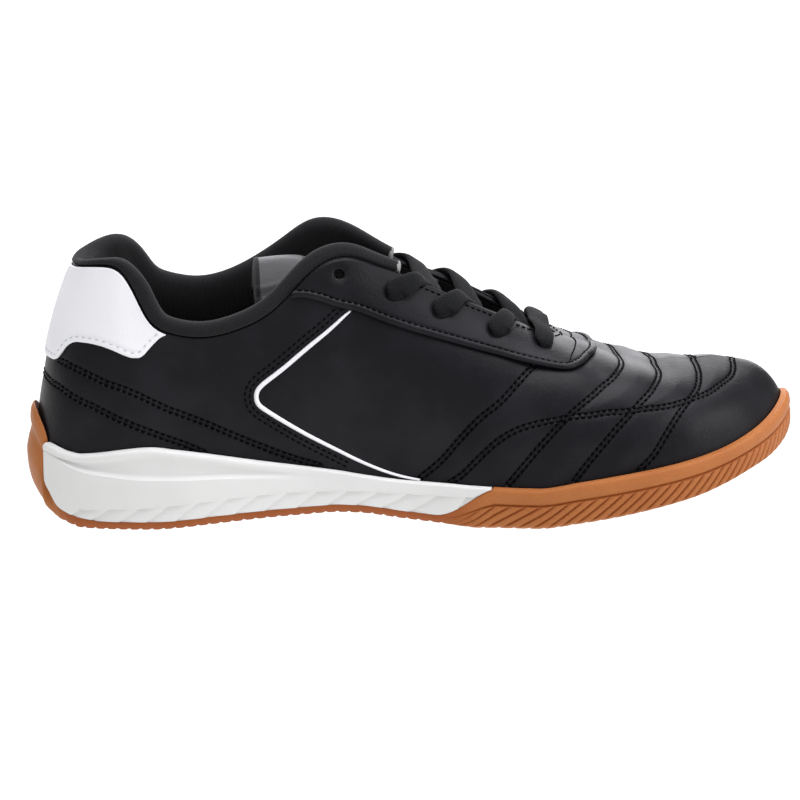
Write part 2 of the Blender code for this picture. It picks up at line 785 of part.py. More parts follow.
# Lace: flat woven cord. A bar across the lowest eyelets, then a crossing between each two pairs.
# Columns: along, up, where the strand crosses its own throat edge, and where it ends at the other
EYELETS = (
    (0.674, 0.85, 0.674, 0.674),
    (0.623, 0.85, 0.642, 0.638),
    (0.563, 0.86, 0.590, 0.590),
    (0.513, 0.88, 0.549, 0.543),
)
LACE_LIFT = OVERLAY_GAP + OVERLAY_THICKNESS + LACE_THICKNESS + GAP
LACE_REACH = 0.8
LACE_CROWN = 1.0
LACE_STEPS = 9


def ribbon(name, route, facings, material, collection):
    """A flat cord through the points of a route, facing the given way at each."""
    knots = np.linspace(0.0, 1.0, len(route))
    path, facing = flowing(knots, route), flowing(knots, facings)
    rings = []
    for turn in span(0.0, 1.0, LACE_STEPS):
        heading = path(min(turn + 0.01, 1.0)) - path(max(turn - 0.01, 0.0))
        side = unit(np.cross(facing(turn), heading)) * LACE_WIDTH / 2
        thick = unit(np.cross(heading, side)) * LACE_THICKNESS / 2
        rings.append([path(turn) + side * a + thick * b for a, b in ((-1, -1), (1, -1), (1, 1), (-1, 1))])
    return mesh_object(name, [p for ring in rings for p in ring], ring_faces(rings), material, collection)


def over_eyestay(side, along, up):
    here, normal, _ = leather_frame(side, along, up)
    return here + normal * LACE_LIFT, normal


def strand_route(side, along, up, rim_along, end_along):
    """From an eyelet on one side, over its throat edge, to just short of the other throat edge."""
    upright = np.array([0.0, 0.0, 1.0])
    start, start_facing = over_eyestay(side, along, up)
    rim, rim_facing = over_eyestay(side, rim_along, EDGE_OF_LEATHER)
    near, far = leather(side, end_along, 1.0), leather(-side, end_along, 1.0)
    end = near + (far - near) * LACE_REACH + upright * GAP
    middle = (rim + end) / 2 + upright * LACE_CROWN
    return [start, rim, middle, end], [start_facing, unit(rim_facing + upright), upright, upright]


woven = finish("black_lace", (0.012, 0.012, 0.013), 0.85)
low_along, low_up = EYELETS[0][:2]
bar_points = [over_eyestay(side, low_along, up) for side, up in
              ((LATERAL, low_up), (LATERAL, EDGE_OF_LEATHER), (MEDIAL, EDGE_OF_LEATHER), (MEDIAL, low_up))]
ribbon("lace_bar", [p for p, _ in bar_points], [n for _, n in bar_points], woven, shoe)
for pair, eyelet in enumerate(EYELETS[1:], start=1):
    name = f"lace_cross_{pair}"
    cross = ribbon(name, *strand_route(LATERAL, *eyelet), woven, shoe)
    other = ribbon(name + "_other_strand", *strand_route(MEDIAL, *eyelet), woven, helpers)
    other.hide_render = True
    other.display_type = "WIRE"
    join = cross.modifiers.new("crossing", "BOOLEAN")
    join.operation = "UNION"
    join.object = other
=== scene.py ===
"""Looks of a right indoor court shoe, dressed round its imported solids.

Sizes are in millimetres from the back of the heel, as in the part's source. The finished meshes are in
metres: +X to the toe, +Y to the medial side, +Z up, origin on the floor under the middle of the shoe.
"""

import math

import bmesh
import bpy
import numpy as np
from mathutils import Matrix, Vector
from mathutils.bvhtree import BVHTree


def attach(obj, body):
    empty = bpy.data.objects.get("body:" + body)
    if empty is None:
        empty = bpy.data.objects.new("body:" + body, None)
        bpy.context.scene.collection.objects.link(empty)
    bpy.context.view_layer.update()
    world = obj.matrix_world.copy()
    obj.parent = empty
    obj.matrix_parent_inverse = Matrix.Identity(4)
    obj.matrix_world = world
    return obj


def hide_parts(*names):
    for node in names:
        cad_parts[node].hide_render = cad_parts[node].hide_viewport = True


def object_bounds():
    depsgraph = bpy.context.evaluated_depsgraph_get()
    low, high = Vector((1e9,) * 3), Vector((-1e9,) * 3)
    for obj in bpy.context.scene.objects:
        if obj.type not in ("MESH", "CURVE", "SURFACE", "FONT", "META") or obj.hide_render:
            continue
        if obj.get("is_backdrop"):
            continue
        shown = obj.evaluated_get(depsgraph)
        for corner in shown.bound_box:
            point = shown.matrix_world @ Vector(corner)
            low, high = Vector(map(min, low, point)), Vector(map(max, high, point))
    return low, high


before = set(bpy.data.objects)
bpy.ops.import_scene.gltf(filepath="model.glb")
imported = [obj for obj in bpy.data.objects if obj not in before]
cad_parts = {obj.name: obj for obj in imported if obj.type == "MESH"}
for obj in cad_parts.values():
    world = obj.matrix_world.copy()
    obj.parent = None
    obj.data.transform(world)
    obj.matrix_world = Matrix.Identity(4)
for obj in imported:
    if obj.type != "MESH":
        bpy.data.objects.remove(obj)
cad_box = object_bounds()

# Studio: a pale seamless floor under four soft lights, overhead, behind, in front and at the toe.
# It is seen from the lateral side, through a long lens a little above the shoe.
VIEW_TURN, VIEW_RISE = math.radians(4.5), math.radians(12.5)
VIEW_DISTANCE = 1.6
VIEW_LENS = 186.3
VIEW_AIM = Vector((-0.0051, 0.0, 0.041))
VIEW_SENSOR, VIEW_END = 36.0, 20.0
FLOOR_COLOUR, FLOOR_SIZE, FLOOR_GLOW = (0.05, 0.05, 0.05, 1.0), 6.0, 1.15
WHITE = (1.0, 1.0, 1.0, 1.0)
LIGHT_COLOUR = (0.97, 0.965, 1.0)
ROOM_LIGHT = 0.3
NOISE_ROUGHNESS = 0.55


class Wire:
    """A shader socket that takes part in sums; each operator adds a Math node."""

    def __init__(self, paint, socket):
        self.paint, self.socket = paint, socket

    def maths(self, operation, *values):
        return self.paint.add("Math", {"operation": operation}, dict(enumerate(values)))

    def __add__(self, other):
        return self.maths("ADD", self, other)

    def __radd__(self, other):
        return self.maths("ADD", other, self)

    def __sub__(self, other):
        return self.maths("SUBTRACT", self, other)

    def __rsub__(self, other):
        return self.maths("SUBTRACT", other, self)

    def __mul__(self, other):
        return self.maths("MULTIPLY", self, other)

    def __rmul__(self, other):
        return self.maths("MULTIPLY", other, self)

    def __abs__(self):
        return self.maths("ABSOLUTE", self)

    def wave(self, length):
        """A sine of the value, one turn for each length, between 0 and 1."""
        return self.maths("SINE", self * (2 * math.pi / length)) * 0.5 + 0.5

    def between(self, low, high):
        """0 up to low, 1 from high, with a soft change from one to the other."""
        settings = {"interpolation_type": "SMOOTHSTEP"}
        return self.paint.add("MapRange", settings, {"Value": self, "From Min": low, "From Max": high})


class Paint:
    """A procedural finish on the Principled shader."""

    def __init__(self, name, **constants):
        self.material = bpy.data.materials.new(name)
        self.material.use_nodes = True
        self.tree = self.material.node_tree
        self.shader = self.tree.nodes["Principled BSDF"]
        for words, value in constants.items():
            self.shader.inputs[words.replace("_", " ").title().replace("Ior", "IOR")].default_value = value

    def add(self, kind, settings, inputs, output=0):
        """Any node: its settings first, then the values or wires of its sockets."""
        node = self.tree.nodes.new("ShaderNode" + kind)
        for name, value in settings.items():
            setattr(node, name, value)
        for key, value in inputs.items():
            self.feed(node.inputs[key], value)
        return Wire(self, node.outputs[output])

    def feed(self, socket, value):
        if isinstance(value, Wire):
            self.tree.links.new(value.socket, socket)
        else:
            socket.default_value = value

    def place(self):
        return self.add("TexCoord", {}, {}, output="Object")

    def attribute(self, name):
        return self.add("Attribute", {"attribute_name": name}, {}, output="Fac")

    def noise(self, size, detail=3.0):
        """Even noise between 0 and 1 with features of a size in metres."""
        inputs = {"Vector": self.place(), "Scale": 1 / size, "Detail": detail, "Roughness": NOISE_ROUGHNESS}
        return self.add("TexNoise", {}, inputs)

    def blend(self, factor, first, second):
        """A colour between two others."""
        inputs = {0: factor, 6: first, 7: second}
        return self.add("Mix", {"data_type": "RGBA"}, inputs, output=2)

    def bump(self, height, depth, under=None):
        """A normal from a height between 0 and 1, over a depth in metres."""
        inputs = {"Height": height, "Distance": depth, "Strength": 1.0}
        if under:
            inputs["Normal"] = under
        return self.add("Bump", {}, inputs)

    def finish(self, **wires):
        for words, value in wires.items():
            self.feed(self.shader.inputs[words.replace("_", " ").title()], value)
        return self.material


camera_data = bpy.data.cameras.new("camera")
camera_data.lens = VIEW_LENS
camera_data.sensor_width = VIEW_SENSOR
camera_data.clip_end = VIEW_END
camera = bpy.data.objects.new("camera", camera_data)
view_way = Vector((math.sin(VIEW_TURN) * math.cos(VIEW_RISE), math.cos(VIEW_TURN) * math.cos(VIEW_RISE),
                   -math.sin(VIEW_RISE)))
camera.location = VIEW_AIM - view_way * VIEW_DISTANCE
camera.rotation_euler = view_way.to_track_quat("-Z", "Y").to_euler()
bpy.context.scene.collection.objects.link(camera)
bpy.context.scene.camera = camera
bpy.context.scene.view_settings.view_transform = "Standard"

floor_mesh = bpy.data.meshes.new("floor")
half = FLOOR_SIZE / 2
floor_corners = [(-half, -half, 0), (half, -half, 0), (half, half, 0), (-half, half, 0)]
floor_mesh.from_pydata(floor_corners, [], [(0, 1, 2, 3)])
floor = bpy.data.objects.new("floor", floor_mesh)
bpy.context.scene.collection.objects.link(floor)
floor_paint = Paint("floor_paper", base_color=FLOOR_COLOUR, roughness=0.9, specular_ior_level=0.1,
                    emission_color=WHITE, emission_strength=FLOOR_GLOW)
floor_mesh.materials.append(floor_paint.material)
floor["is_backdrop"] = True

world = bpy.data.worlds.new("studio")
world.use_nodes = True
world_light = world.node_tree.nodes["Background"].inputs
world_light["Color"].default_value = WHITE
world_light["Strength"].default_value = ROOM_LIGHT
bpy.context.scene.world = world


def soft_light(name, size, power, place, aim):
    """A square area light that looks at a point."""
    data = bpy.data.lights.new(name, "AREA")
    data.size, data.energy = size, power
    data.color = LIGHT_COLOUR
    light = bpy.data.objects.new(name, data)
    light.location = place
    light.rotation_euler = (Vector(aim) - Vector(place)).to_track_quat("-Z", "Y").to_euler()
    bpy.context.scene.collection.objects.link(light)


soft_light("overhead", 1.1, 19.0, (0.1, -0.05, 1.2), (0.0, 0.0, 0.0))
soft_light("behind", 1.6, 23.0, (0.1, 1.5, 0.8), (0.0, 0.0, 0.05))
soft_light("front", 1.2, 2.5, (-0.5, -1.5, 0.9), (0.0, 0.0, 0.05))
soft_light("toe_side", 0.9, 13.0, (1.3, -0.5, 0.7), (0.05, 0.0, 0.05))

# Outsole: one moulding of gum rubber, cupped up round the forefoot and in a tail over the heel.
# A smooth rand stands over slanted ribs on its forefoot wall, and its thin edge is scalloped.
# Zigzag lugs line its underside, set a little inside the wall.
MM = 0.001
LENGTH = 298.0
LATERAL, MEDIAL = -1, 1
SIDES = (LATERAL, MEDIAL)
RIM, GUM_EDGE, GAP = 3.2, 3.2, 0.3
TOE_TIP_Y = 5.0
TOE_LEAN, TOE_LEAN_START = 1.7, 0.86
FOAM_FRONT_LOW, FOAM_FRONT_HIGH, FOAM_END = 153.5, 178.0, 0.568
TAIL_FOOT, TAIL_END, TAIL_STEP = 0.0600, 0.0608, 0.0613
TAIL_FADE_START, TAIL_FADE_END = 0.056, 0.082
RIB_START, RIB_END, RIB_COUNT, RIB_DEPTH = 0.535, 0.985, 33, 0.9
RIB_WIDEN, RIB_CUT_WIDTH, RIB_RUN_IN, RIB_FOOT_LIFT = 0.74, 0.12, 0.01, 0.5
RIB_LEAN_BACK, RIB_LEAN_TOE = 0.048, 0.014
RIB_TOP, WALL_FOOT = 0.58, 0.12
SCALLOP_PITCH, SCALLOP_WIDTH, SCALLOP_DEPTH = 0.0128, 0.11, 0.55
SCALLOP_RUN_IN, SCALLOP_RUN_OUT = (0.07, 0.09), (0.50, 0.53)
THIN_FOOT, THIN_BULGE, THIN_RUN_IN = -2.2, 1.8, (0.07, 0.10)
GUM_LIGHT, GUM_DARK = (0.45, 0.162, 0.047, 1.0), (0.36, 0.117, 0.032, 1.0)
GUM_PAINTED_SHADE = (0.27, 0.056, 0.008, 1.0)
# Columns: x, lateral half width, medial half width
OUTLINE = (
    (10.0, 25.0, 25.0),
    (30.0, 34.5, 34.0),
    (60.0, 37.0, 36.0),
    (100.0, 37.0, 33.5),
    (140.0, 40.0, 33.0),
    (180.0, 47.0, 39.5),
    (205.0, 50.5, 46.0),
    (230.0, 49.5, 50.5),
    (255.0, 43.5, 48.0),
    (278.0, 29.5, 37.5),
    (292.0, 12.5, 22.0),
)
# Columns: x, underside, top of the side wall, footbed
SOLE = (
    (0.0, 10.0, 31.0, 22.5),
    (6.0, 4.8, 31.2, 22.5),
    (14.0, 1.5, 29.2, 22.3),
    (19.0, 0.1, 28.6, 22.0),
    (23.0, 0.0, 29.0, 22.0),
    (47.0, 0.0, 31.8, 22.0),
    (56.0, 0.4, 30.8, 22.0),
    (70.0, 1.8, 28.8, 20.6),
    (88.0, 3.6, 26.0, 18.0),
    (103.0, 4.8, 23.9, 16.0),
    (118.0, 5.8, 21.8, 14.0),
    (126.0, 5.5, 20.4, 12.8),
    (141.0, 3.6, 18.4, 10.8),
    (156.0, 1.9, 17.4, 9.6),
    (171.0, 0.0, 16.4, 8.6),
    (192.0, 0.0, 16.0, 8.3),
    (208.0, 2.0, 18.4, 9.2),
    (224.0, 4.3, 20.7, 11.0),
    (240.0, 7.1, 23.0, 14.2),
    (256.0, 10.4, 25.8, 17.4),
    (267.0, 13.6, 28.4, 20.2),
    (277.0, 16.9, 31.6, 23.0),
    (287.0, 20.0, 35.4, 26.2),
    (294.0, 23.7, 39.0, 29.2),
    (298.0, 27.6, 41.7, 31.4),
)
# Columns: share of the sole's edge from heel to toe, where the section meets the centre line
SPINE = (
    (0.00, 26.0),
    (0.10, 30.0),
    (0.13, 35.0),
    (0.16, 43.0),
    (0.30, 87.0),
    (0.45, 131.0),
    (0.60, 170.0),
    (1.00, 259.0),
)
# Columns: share of the edge, top of the gum tail
TAIL = (
    (0.000, 43.0),
    (0.020, 42.0),
    (0.040, 38.5),
    (0.0575, 31.5),
    (0.0600, 17.5),
    (0.0715, 12.2),
    (0.083, 7.6),
    (0.0935, 5.9),
    (0.106, 4.5),
    (0.130, 3.4),
)
# Columns: share of the height, out from the edge, how far the ribs are cut
FOREFOOT_WALL = (
    (0.00, -4.2, 0.0),
    (0.05, -2.1, 0.4),
    (0.12, -0.9, 1.0),
    (0.30, -0.4, 1.0),
    (0.53, -0.2, 1.0),
    (0.57, -0.5, 0.4),
    (0.60, -1.3, 0.0),
    (0.63, -0.9, 0.0),
    (0.66, -0.2, 0.0),
    (0.78, 0.1, 0.0),
    (0.92, -0.1, 0.0),
    (1.00, -0.8, 0.0),
)
# Columns: share of the height, out from the edge
TAIL_WALL = (
    (0.00, -3.6),
    (0.12, -1.5),
    (0.30, -0.3),
    (0.45, 0.0),
    (0.60, -0.8),
    (0.74, -1.9),
    (0.82, -1.5),
    (0.93, -1.8),
    (1.00, -2.8),
)


def flowing(rows):
    """Smooth curve through the rows of a table; the first column is the place along it."""
    rows = np.asarray(rows, float)
    knots, values = rows[:, 0], rows[:, 1:]
    step = np.diff(knots)
    system = np.eye(len(knots))
    bend = np.zeros_like(values)
    for i in range(1, len(knots) - 1):
        system[i, i - 1:i + 2] = step[i - 1], 2 * (step[i - 1] + step[i]), step[i]
        bend[i] = 6 * ((values[i + 1] - values[i]) / step[i] - (values[i] - values[i - 1]) / step[i - 1])
    bend = np.linalg.solve(system, bend)

    def at(t):
        t = np.asarray(t, float)
        i = np.clip(np.searchsorted(knots, t) - 1, 0, len(step) - 1)
        a, b, h = (knots[i + 1] - t)[..., None], (t - knots[i])[..., None], step[i][..., None]
        curved = (bend[i] * a ** 3 + bend[i + 1] * b ** 3) / (6 * h)
        return curved + (values[i] / h - bend[i] * h / 6) * a + (values[i + 1] / h - bend[i + 1] * h / 6) * b

    return at


def level(rows):
    """Curve through the rows that keeps flat stretches flat and never overshoots."""
    rows = np.asarray(rows, float)
    knots, values = rows[:, 0], rows[:, 1:]
    step = np.diff(knots)
    rise = np.diff(values, axis=0) / step[:, None]
    slope = np.zeros_like(values)
    slope[0], slope[-1] = rise[0], rise[-1]
    same_way = rise[:-1] * rise[1:] > 0
    slope[1:-1][same_way] = 2 * (rise[:-1] * rise[1:])[same_way] / (rise[:-1] + rise[1:])[same_way]

    def at(t):
        t = np.clip(np.asarray(t, float), knots[0], knots[-1])
        i = np.clip(np.searchsorted(knots, t) - 1, 0, len(step) - 1)
        h = step[i][..., None]
        u = (t - knots[i])[..., None] / h
        near = values[i] * (1 + 2 * u) * (1 - u) ** 2 + slope[i] * h * u * (1 - u) ** 2
        far = values[i + 1] * u * u * (3 - 2 * u) + slope[i + 1] * h * u * u * (u - 1)
        return near + far

    return at


def smoothstep(low, high, value):
    t = np.clip((value - low) / (high - low), 0.0, 1.0)
    return t * t * (3 - 2 * t)


def hump(away, width):
    """1 at no distance, falling off smoothly over about a width."""
    return np.exp(-(away / width) ** 2)


def run_along(points):
    """Length along a line of points, from its start to each of them."""
    return np.concatenate([[0.0], np.cumsum(np.linalg.norm(np.diff(points, axis=0), axis=1))])


def spans(*rows):
    """Places along the shoe, from rows of first place, last place and count."""
    return np.concatenate([np.linspace(*row) for row in rows])


def unit(vectors):
    return vectors / np.linalg.norm(vectors, axis=-1, keepdims=True)


def stack(*parts):
    return np.stack(np.broadcast_arrays(*parts), axis=-1)


def closed_outline():
    """The sole's plan as one closed curve, with its places at the heel, the toe and the heel again."""
    side = [(x, -lateral) for x, lateral, _ in OUTLINE]
    back = [(x, medial) for x, _, medial in reversed(OUTLINE)]
    loop = np.array([(0.0, 0.0)] + side + [(LENGTH, TOE_TIP_Y)] + back)
    overlap = 4
    points = np.vstack([loop[-overlap:], loop, loop[:overlap + 1]])
    run = run_along(points)
    curve = flowing(np.column_stack([run, points]))
    return curve, run[overlap], run[overlap + len(side) + 1], run[overlap + len(loop)]


outline, OUTLINE_START, OUTLINE_TOE, OUTLINE_END = closed_outline()
sole_at, spine_at, tail_at = level(SOLE), level(SPINE), level(TAIL)
forefoot_wall, tail_wall = level(FOREFOOT_WALL), level(TAIL_WALL)
GUM_SHARES, RAND_GROOVE, RAND_GROOVE_WIDTH = np.linspace(0.0, 1.0, 41), 0.6, 0.02
# Amounts of painted shade over the ribbed wall and on the thin edge under the foam.
RIB_SHADE, THIN_SHADE = 0.15, 0.95
TREAD_PITCH, TREAD_TURN, TREAD_SLANT, TREAD_DEPTH = 6.5, 9.0, 1.2, 0.7
TREAD_EDGE, TREAD_RECESS, TREAD_ROWS, TREAD_SEAT = 6.0, 1.0, 50, 0.2
TREAD_CUT_EDGE = (0.25, 0.6)
CUT_SHADE = 0.75
MERGE_WITHIN, NO_LENGTH = 0.00001, 0.000001
# Columns: share of the way out to the tread's edge, distance inside it, depth of the recess
UNDERSIDE = (
    (0.4, 0.4, TREAD_RECESS),
    (0.8, 0.4, TREAD_RECESS),
    (1.0, 0.4, TREAD_RECESS),
    (1.0, 0.0, 0.0),
)


def edge(side, along):
    """Point on the sole's outline and the outward direction there, both in plan."""
    far_end = OUTLINE_START if side == LATERAL else OUTLINE_END
    run = far_end + np.asarray(along, float) * (OUTLINE_TOE - far_end)
    step = 0.5
    heading = unit(outline(run + step) - outline(run - step))
    return outline(run), stack(heading[..., 1], -heading[..., 0])


def ledge(side, along, out, height):
    """Point at a distance outside the sole's outline and at a height."""
    plan, outward = edge(side, along)
    return stack(plan[..., 0] + outward[..., 0] * out, plan[..., 1] + outward[..., 1] * out, height)


def rim_inside(along):
    """How far the inner edge of the rim lies inside the outline: further at the leaning toe bumper."""
    return RIM + TOE_LEAN * smoothstep(TOE_LEAN_START, 1.0, along)


def spine(along, height):
    """Point on the centre line of the sole, at a height that depends on where it lies."""
    x = spine_at(along)[..., 0]
    centre = sum(edge(side, along)[0][..., 1] for side in SIDES) / 2
    return stack(x, centre, height(x))


def gum_top(side, along):
    """Height of the gum on the side: tail, thin edge under the foam, then the forefoot wall."""
    x = edge(side, along)[0][..., 0]
    underside, rim, _ = np.moveaxis(sole_at(x), -1, 0)
    thin = underside + GUM_EDGE
    ramp = thin + (rim - thin) * smoothstep(FOAM_FRONT_LOW, FOAM_FRONT_HIGH, x)
    tail = np.maximum(tail_at(along)[..., 0], thin)
    return np.where(along <= TAIL[-1][0], tail, np.where(along > FOAM_END, rim, ramp))


def rib_cut(along, share):
    """1 in the narrow cuts between the slanted ribs of the forefoot wall, 0 on the ribs."""
    toe = smoothstep(RIB_START, RIB_END, along)
    lean = RIB_LEAN_BACK + (RIB_LEAN_TOE - RIB_LEAN_BACK) * toe
    slanted = along + lean * (RIB_TOP - share) / RIB_TOP
    share_run = (slanted - RIB_START) / (RIB_END - RIB_START)
    turn = share_run * (RIB_WIDEN + (1 - RIB_WIDEN) * share_run) * RIB_COUNT
    cut = hump(np.abs(turn - np.round(turn)), RIB_CUT_WIDTH)
    return cut * ((slanted > RIB_START - RIB_RUN_IN) & (along < RIB_END))


def scallop(along):
    """1 in the notches of the thin edge under the foam, 0 on its small lugs."""
    turn = along / SCALLOP_PITCH
    inside = smoothstep(*SCALLOP_RUN_IN, along) * (1 - smoothstep(*SCALLOP_RUN_OUT, along))
    return inside * hump(np.abs(turn - np.round(turn)), SCALLOP_WIDTH)


def painted_gum_shade(side, along):
    """Painted shade for each point of a section, from 0 to 1: in the cuts between the ribs and the groove
    under the rand, a little over the whole ribbed wall, and on the thin edge under the foam.
    """
    front = smoothstep(FOAM_FRONT_LOW, FOAM_FRONT_HIGH, edge(side, along)[0][..., 0])
    rows = [0 * along] * (1 + len(UNDERSIDE))
    for share in GUM_SHARES:
        groove = hump(share - RAND_GROOVE, RAND_GROOVE_WIDTH)
        ribbed = forefoot_wall(share)[1]
        rib = ribbed * (RIB_SHADE + (1 - RIB_SHADE) * rib_cut(along, share))
        cut = front * np.maximum(rib, groove)
        rows.append(np.maximum(cut, THIN_SHADE * (1 - front) * smoothstep(*THIN_RUN_IN, along)))
    return np.stack(rows + [0 * along] * 3, axis=1).ravel()


def gum_column(side, along):
    """Sections of the outsole: under the centre line, out to the wall, up it, and back inside."""
    x = edge(side, along)[0][..., 0]
    underside, _, footbed = np.moveaxis(sole_at(x), -1, 0)
    top = gum_top(side, along)
    front = smoothstep(FOAM_FRONT_LOW, FOAM_FRONT_HIGH, x)
    in_tail = 1 - smoothstep(TAIL_FADE_START, TAIL_FADE_END, along)
    toe_lean = rim_inside(along) - RIM
    notch = scallop(along)
    side_wall = []
    for share in GUM_SHARES:
        out, ribbed = forefoot_wall(share)
        rib = rib_cut(along, share) * smoothstep(0.0, 0.5, front)
        relief = out - ribbed * RIB_DEPTH * rib - toe_lean * share
        thin = THIN_FOOT + THIN_BULGE * math.sin(share * math.pi / 2) - SCALLOP_DEPTH * notch * (1 - share)
        thin = thin + (tail_wall(share)[0] - thin) * in_tail
        lift = (SCALLOP_DEPTH * notch + RIB_FOOT_LIFT * rib * front) * max(0.0, 1 - share / WALL_FOOT)
        height = underside + share * (top - underside) + lift
        side_wall.append(ledge(side, along, thin + (relief - thin) * front, height))
    middle = spine(along, lambda at: sole_at(at)[..., 0] + TREAD_RECESS)
    below = []
    for share, inside, recess in UNDERSIDE:
        edge_plan = ledge(side, along, -TREAD_EDGE - inside, 0.0)[..., :2]
        plan = middle[..., :2] + (edge_plan - middle[..., :2]) * share
        below.append(stack(plan[..., 0], plan[..., 1], sole_at(plan[..., 0])[..., 0] + recess))
    inner = ledge(side, along, -rim_inside(along), top)
    fore = along > FOAM_END
    gum_floor = np.where(fore, footbed, underside + GUM_EDGE)
    floor_edge = ledge(side, along, -rim_inside(along) - 0.1, np.minimum(gum_floor, top))
    top_middle = spine(along, lambda at: np.where(fore, sole_at(at)[..., 2], sole_at(at)[..., 0] + GUM_EDGE))
    return np.stack([middle] + below + side_wall + [inner, floor_edge, top_middle], axis=1)


def tread_rows(side, along):
    """The sheet under the sole from the centre line out, with how deep each point lies in its zigzag cuts;
    that depth also sets the painted shade in the cuts.
    """
    middle = spine(along, lambda at: 0 * at)[..., :2]
    rim = ledge(side, along, -TREAD_EDGE - TREAD_SEAT, 0.0)[..., :2]
    points, cuts = [], []
    for share in np.append(np.linspace(0.0, 1.0, TREAD_ROWS), 1.0):
        x, y = np.moveaxis(middle + (rim - middle) * share, -1, 0)
        slanted = x + TREAD_SLANT * np.abs((y + LENGTH) % (2 * TREAD_TURN) - TREAD_TURN)
        cut = 1 - smoothstep(*TREAD_CUT_EDGE, 0.5 + 0.5 * np.sin(2 * math.pi * slanted / TREAD_PITCH))
        points.append(stack(x, y, sole_at(x)[..., 0] + TREAD_DEPTH * cut))
        cuts.append(cut)
    points[-1][..., 2] = sole_at(points[-1][..., 0])[..., 0] + TREAD_RECESS
    return np.stack(points, axis=1), np.stack(cuts, axis=1).ravel()


def both_sides(column, along):
    """Sections on both sides of the shoe as one list of points and one of quads."""
    points, faces = [], []
    for side in SIDES:
        grid = column(side, np.asarray(along, float))
        count, rows = grid.shape[:2]
        first = sum(len(part) for part in points)
        corner = first + np.arange(count - 1)[:, None] * rows + np.arange(rows - 1)[None, :]
        quads = np.stack([corner, corner + rows, corner + rows + 1, corner + 1], axis=-1)
        faces.append(quads.reshape(-1, 4))
        points.append(grid.reshape(-1, 3))
    return np.vstack(points), np.vstack(faces)


def piece(name, points, faces, material, values=None, relief=None, crease=50.0):
    """A mesh with shared points merged and faces outwards; relief moves its points along their normals."""
    mesh = bpy.data.meshes.new(name)
    moved = (np.asarray(points) - (LENGTH / 2, 0.0, 0.0)) * MM
    mesh.from_pydata(moved.tolist(), [], [tuple(int(corner) for corner in face) for face in faces])
    fields = dict(values or {})
    if relief is not None:
        fields["relief"] = relief
    for field, numbers in fields.items():
        layer = mesh.attributes.new(field, "FLOAT", "POINT")
        layer.data.foreach_set("value", np.asarray(numbers, np.float32))
    work = bmesh.new()
    work.from_mesh(mesh)
    bmesh.ops.remove_doubles(work, verts=work.verts, dist=MERGE_WITHIN)
    bmesh.ops.dissolve_degenerate(work, edges=work.edges, dist=NO_LENGTH)
    bmesh.ops.recalc_face_normals(work, faces=work.faces)
    work.normal_update()
    if relief is not None:
        layer = work.verts.layers.float["relief"]
        for vertex, way in [(v, v.normal.copy()) for v in work.verts]:
            vertex.co += way * vertex[layer] * MM
    work.to_mesh(mesh)
    work.free()
    mesh.materials.append(material)
    mesh.shade_smooth()
    mesh.set_sharp_from_angle(angle=math.radians(crease))
    item = bpy.data.objects.new(name, mesh)
    bpy.context.scene.collection.objects.link(item)
    return item


gum = Paint("gum_rubber_moulded", roughness=0.5, specular_ior_level=0.2, coat_roughness=0.45)
gum_patch = gum.noise(0.03, 4.0)
gum_speck = gum.noise(0.0006, 2.0)
gum_colour = gum.blend((gum_patch * 0.7 + gum_speck * 0.3).between(0.3, 0.75), GUM_LIGHT, GUM_DARK)
# The cut attribute darkens the base colour with painted shade: in the rib cuts, the groove under the rand and
# the tread's cuts, a little over the ribbed wall, and on the thin edge under the foam.
gum_material = gum.finish(base_color=gum.blend(gum.attribute("cut") * CUT_SHADE, gum_colour, GUM_PAINTED_SHADE),
                          roughness=gum_patch * 0.2 + 0.42,
                          normal=gum.bump(gum_speck * 0.55 + gum_patch * 0.45, 0.0002))
gum_along = spans((0.0, TAIL_FOOT, 36), (0.0610, 0.13, 40), (0.1315, 0.53, 190), (0.5315, FOAM_END, 36),
                  (FOAM_END + 0.001, RIB_END, 330), (0.987, 1.0, 9))
gum_shade_paint = np.concatenate([painted_gum_shade(side, gum_along) for side in SIDES])
outsole = piece("outsole_rubber", *both_sides(gum_column, gum_along), gum_material, {"cut": gum_shade_paint})
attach(outsole, "root")
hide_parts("outsole")
tread_along = np.linspace(0.0, 1.0, 540)
# The tread's cut depth becomes painted shade in its zigzag cuts.
tread_shade_paint = np.concatenate([tread_rows(side, tread_along)[1] for side in SIDES])
tread_points, tread_faces = both_sides(lambda side, along: tread_rows(side, along)[0], tread_along)
tread = piece("outsole_tread", tread_points, tread_faces, gum_material, {"cut": tread_shade_paint})
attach(tread, "root")

# Midsole: a moulded white foam wedge glued between the gum sheet and the upper, thick under the heel.
# A rounded lip runs along its top, a ridge fades out below it, and slanted pockets line its foot.
EDGE_LENGTH = OUTLINE_TOE - OUTLINE_START
POCKET_START, POCKET_PITCH, POCKET_COUNT = 0.112, 0.0329, 14
POCKET_DEPTH, POCKET_SLANT, POCKET_SHARE, POCKET_FOOT = 0.95, 1.45, 0.85, 0.55
POCKET_SLANT_START, POCKET_SLANT_END = (0.07, 0.13), (0.535, 0.565)
FOAM_GLUE_GAP, FOAM_FACE, FOAM_LIP = 0.7, -0.35, 3.0
FOAM_INSET, FOAM_SEAT, POCKET_BRIM, HEEL_CUP = -RIM - 0.6, 0.1, 0.3, -1.2
RIDGE_SWELL, HOLLOW_LIFT, HOLLOW_ROOM = 0.75, 1.9, 2.2
LIP_PLAIN, LIP_HEEL, LIP_LEAST, FOAM_STEP = (0.28, 0.40), (0.3, 0.0), 0.35, 0.1
FOAM_WHITE, FOAM_GREY = (0.75, 0.75, 0.74, 1.0), (0.69, 0.69, 0.68, 1.0)
FOAM_FLECK = (0.45, 0.44, 0.42, 1.0)
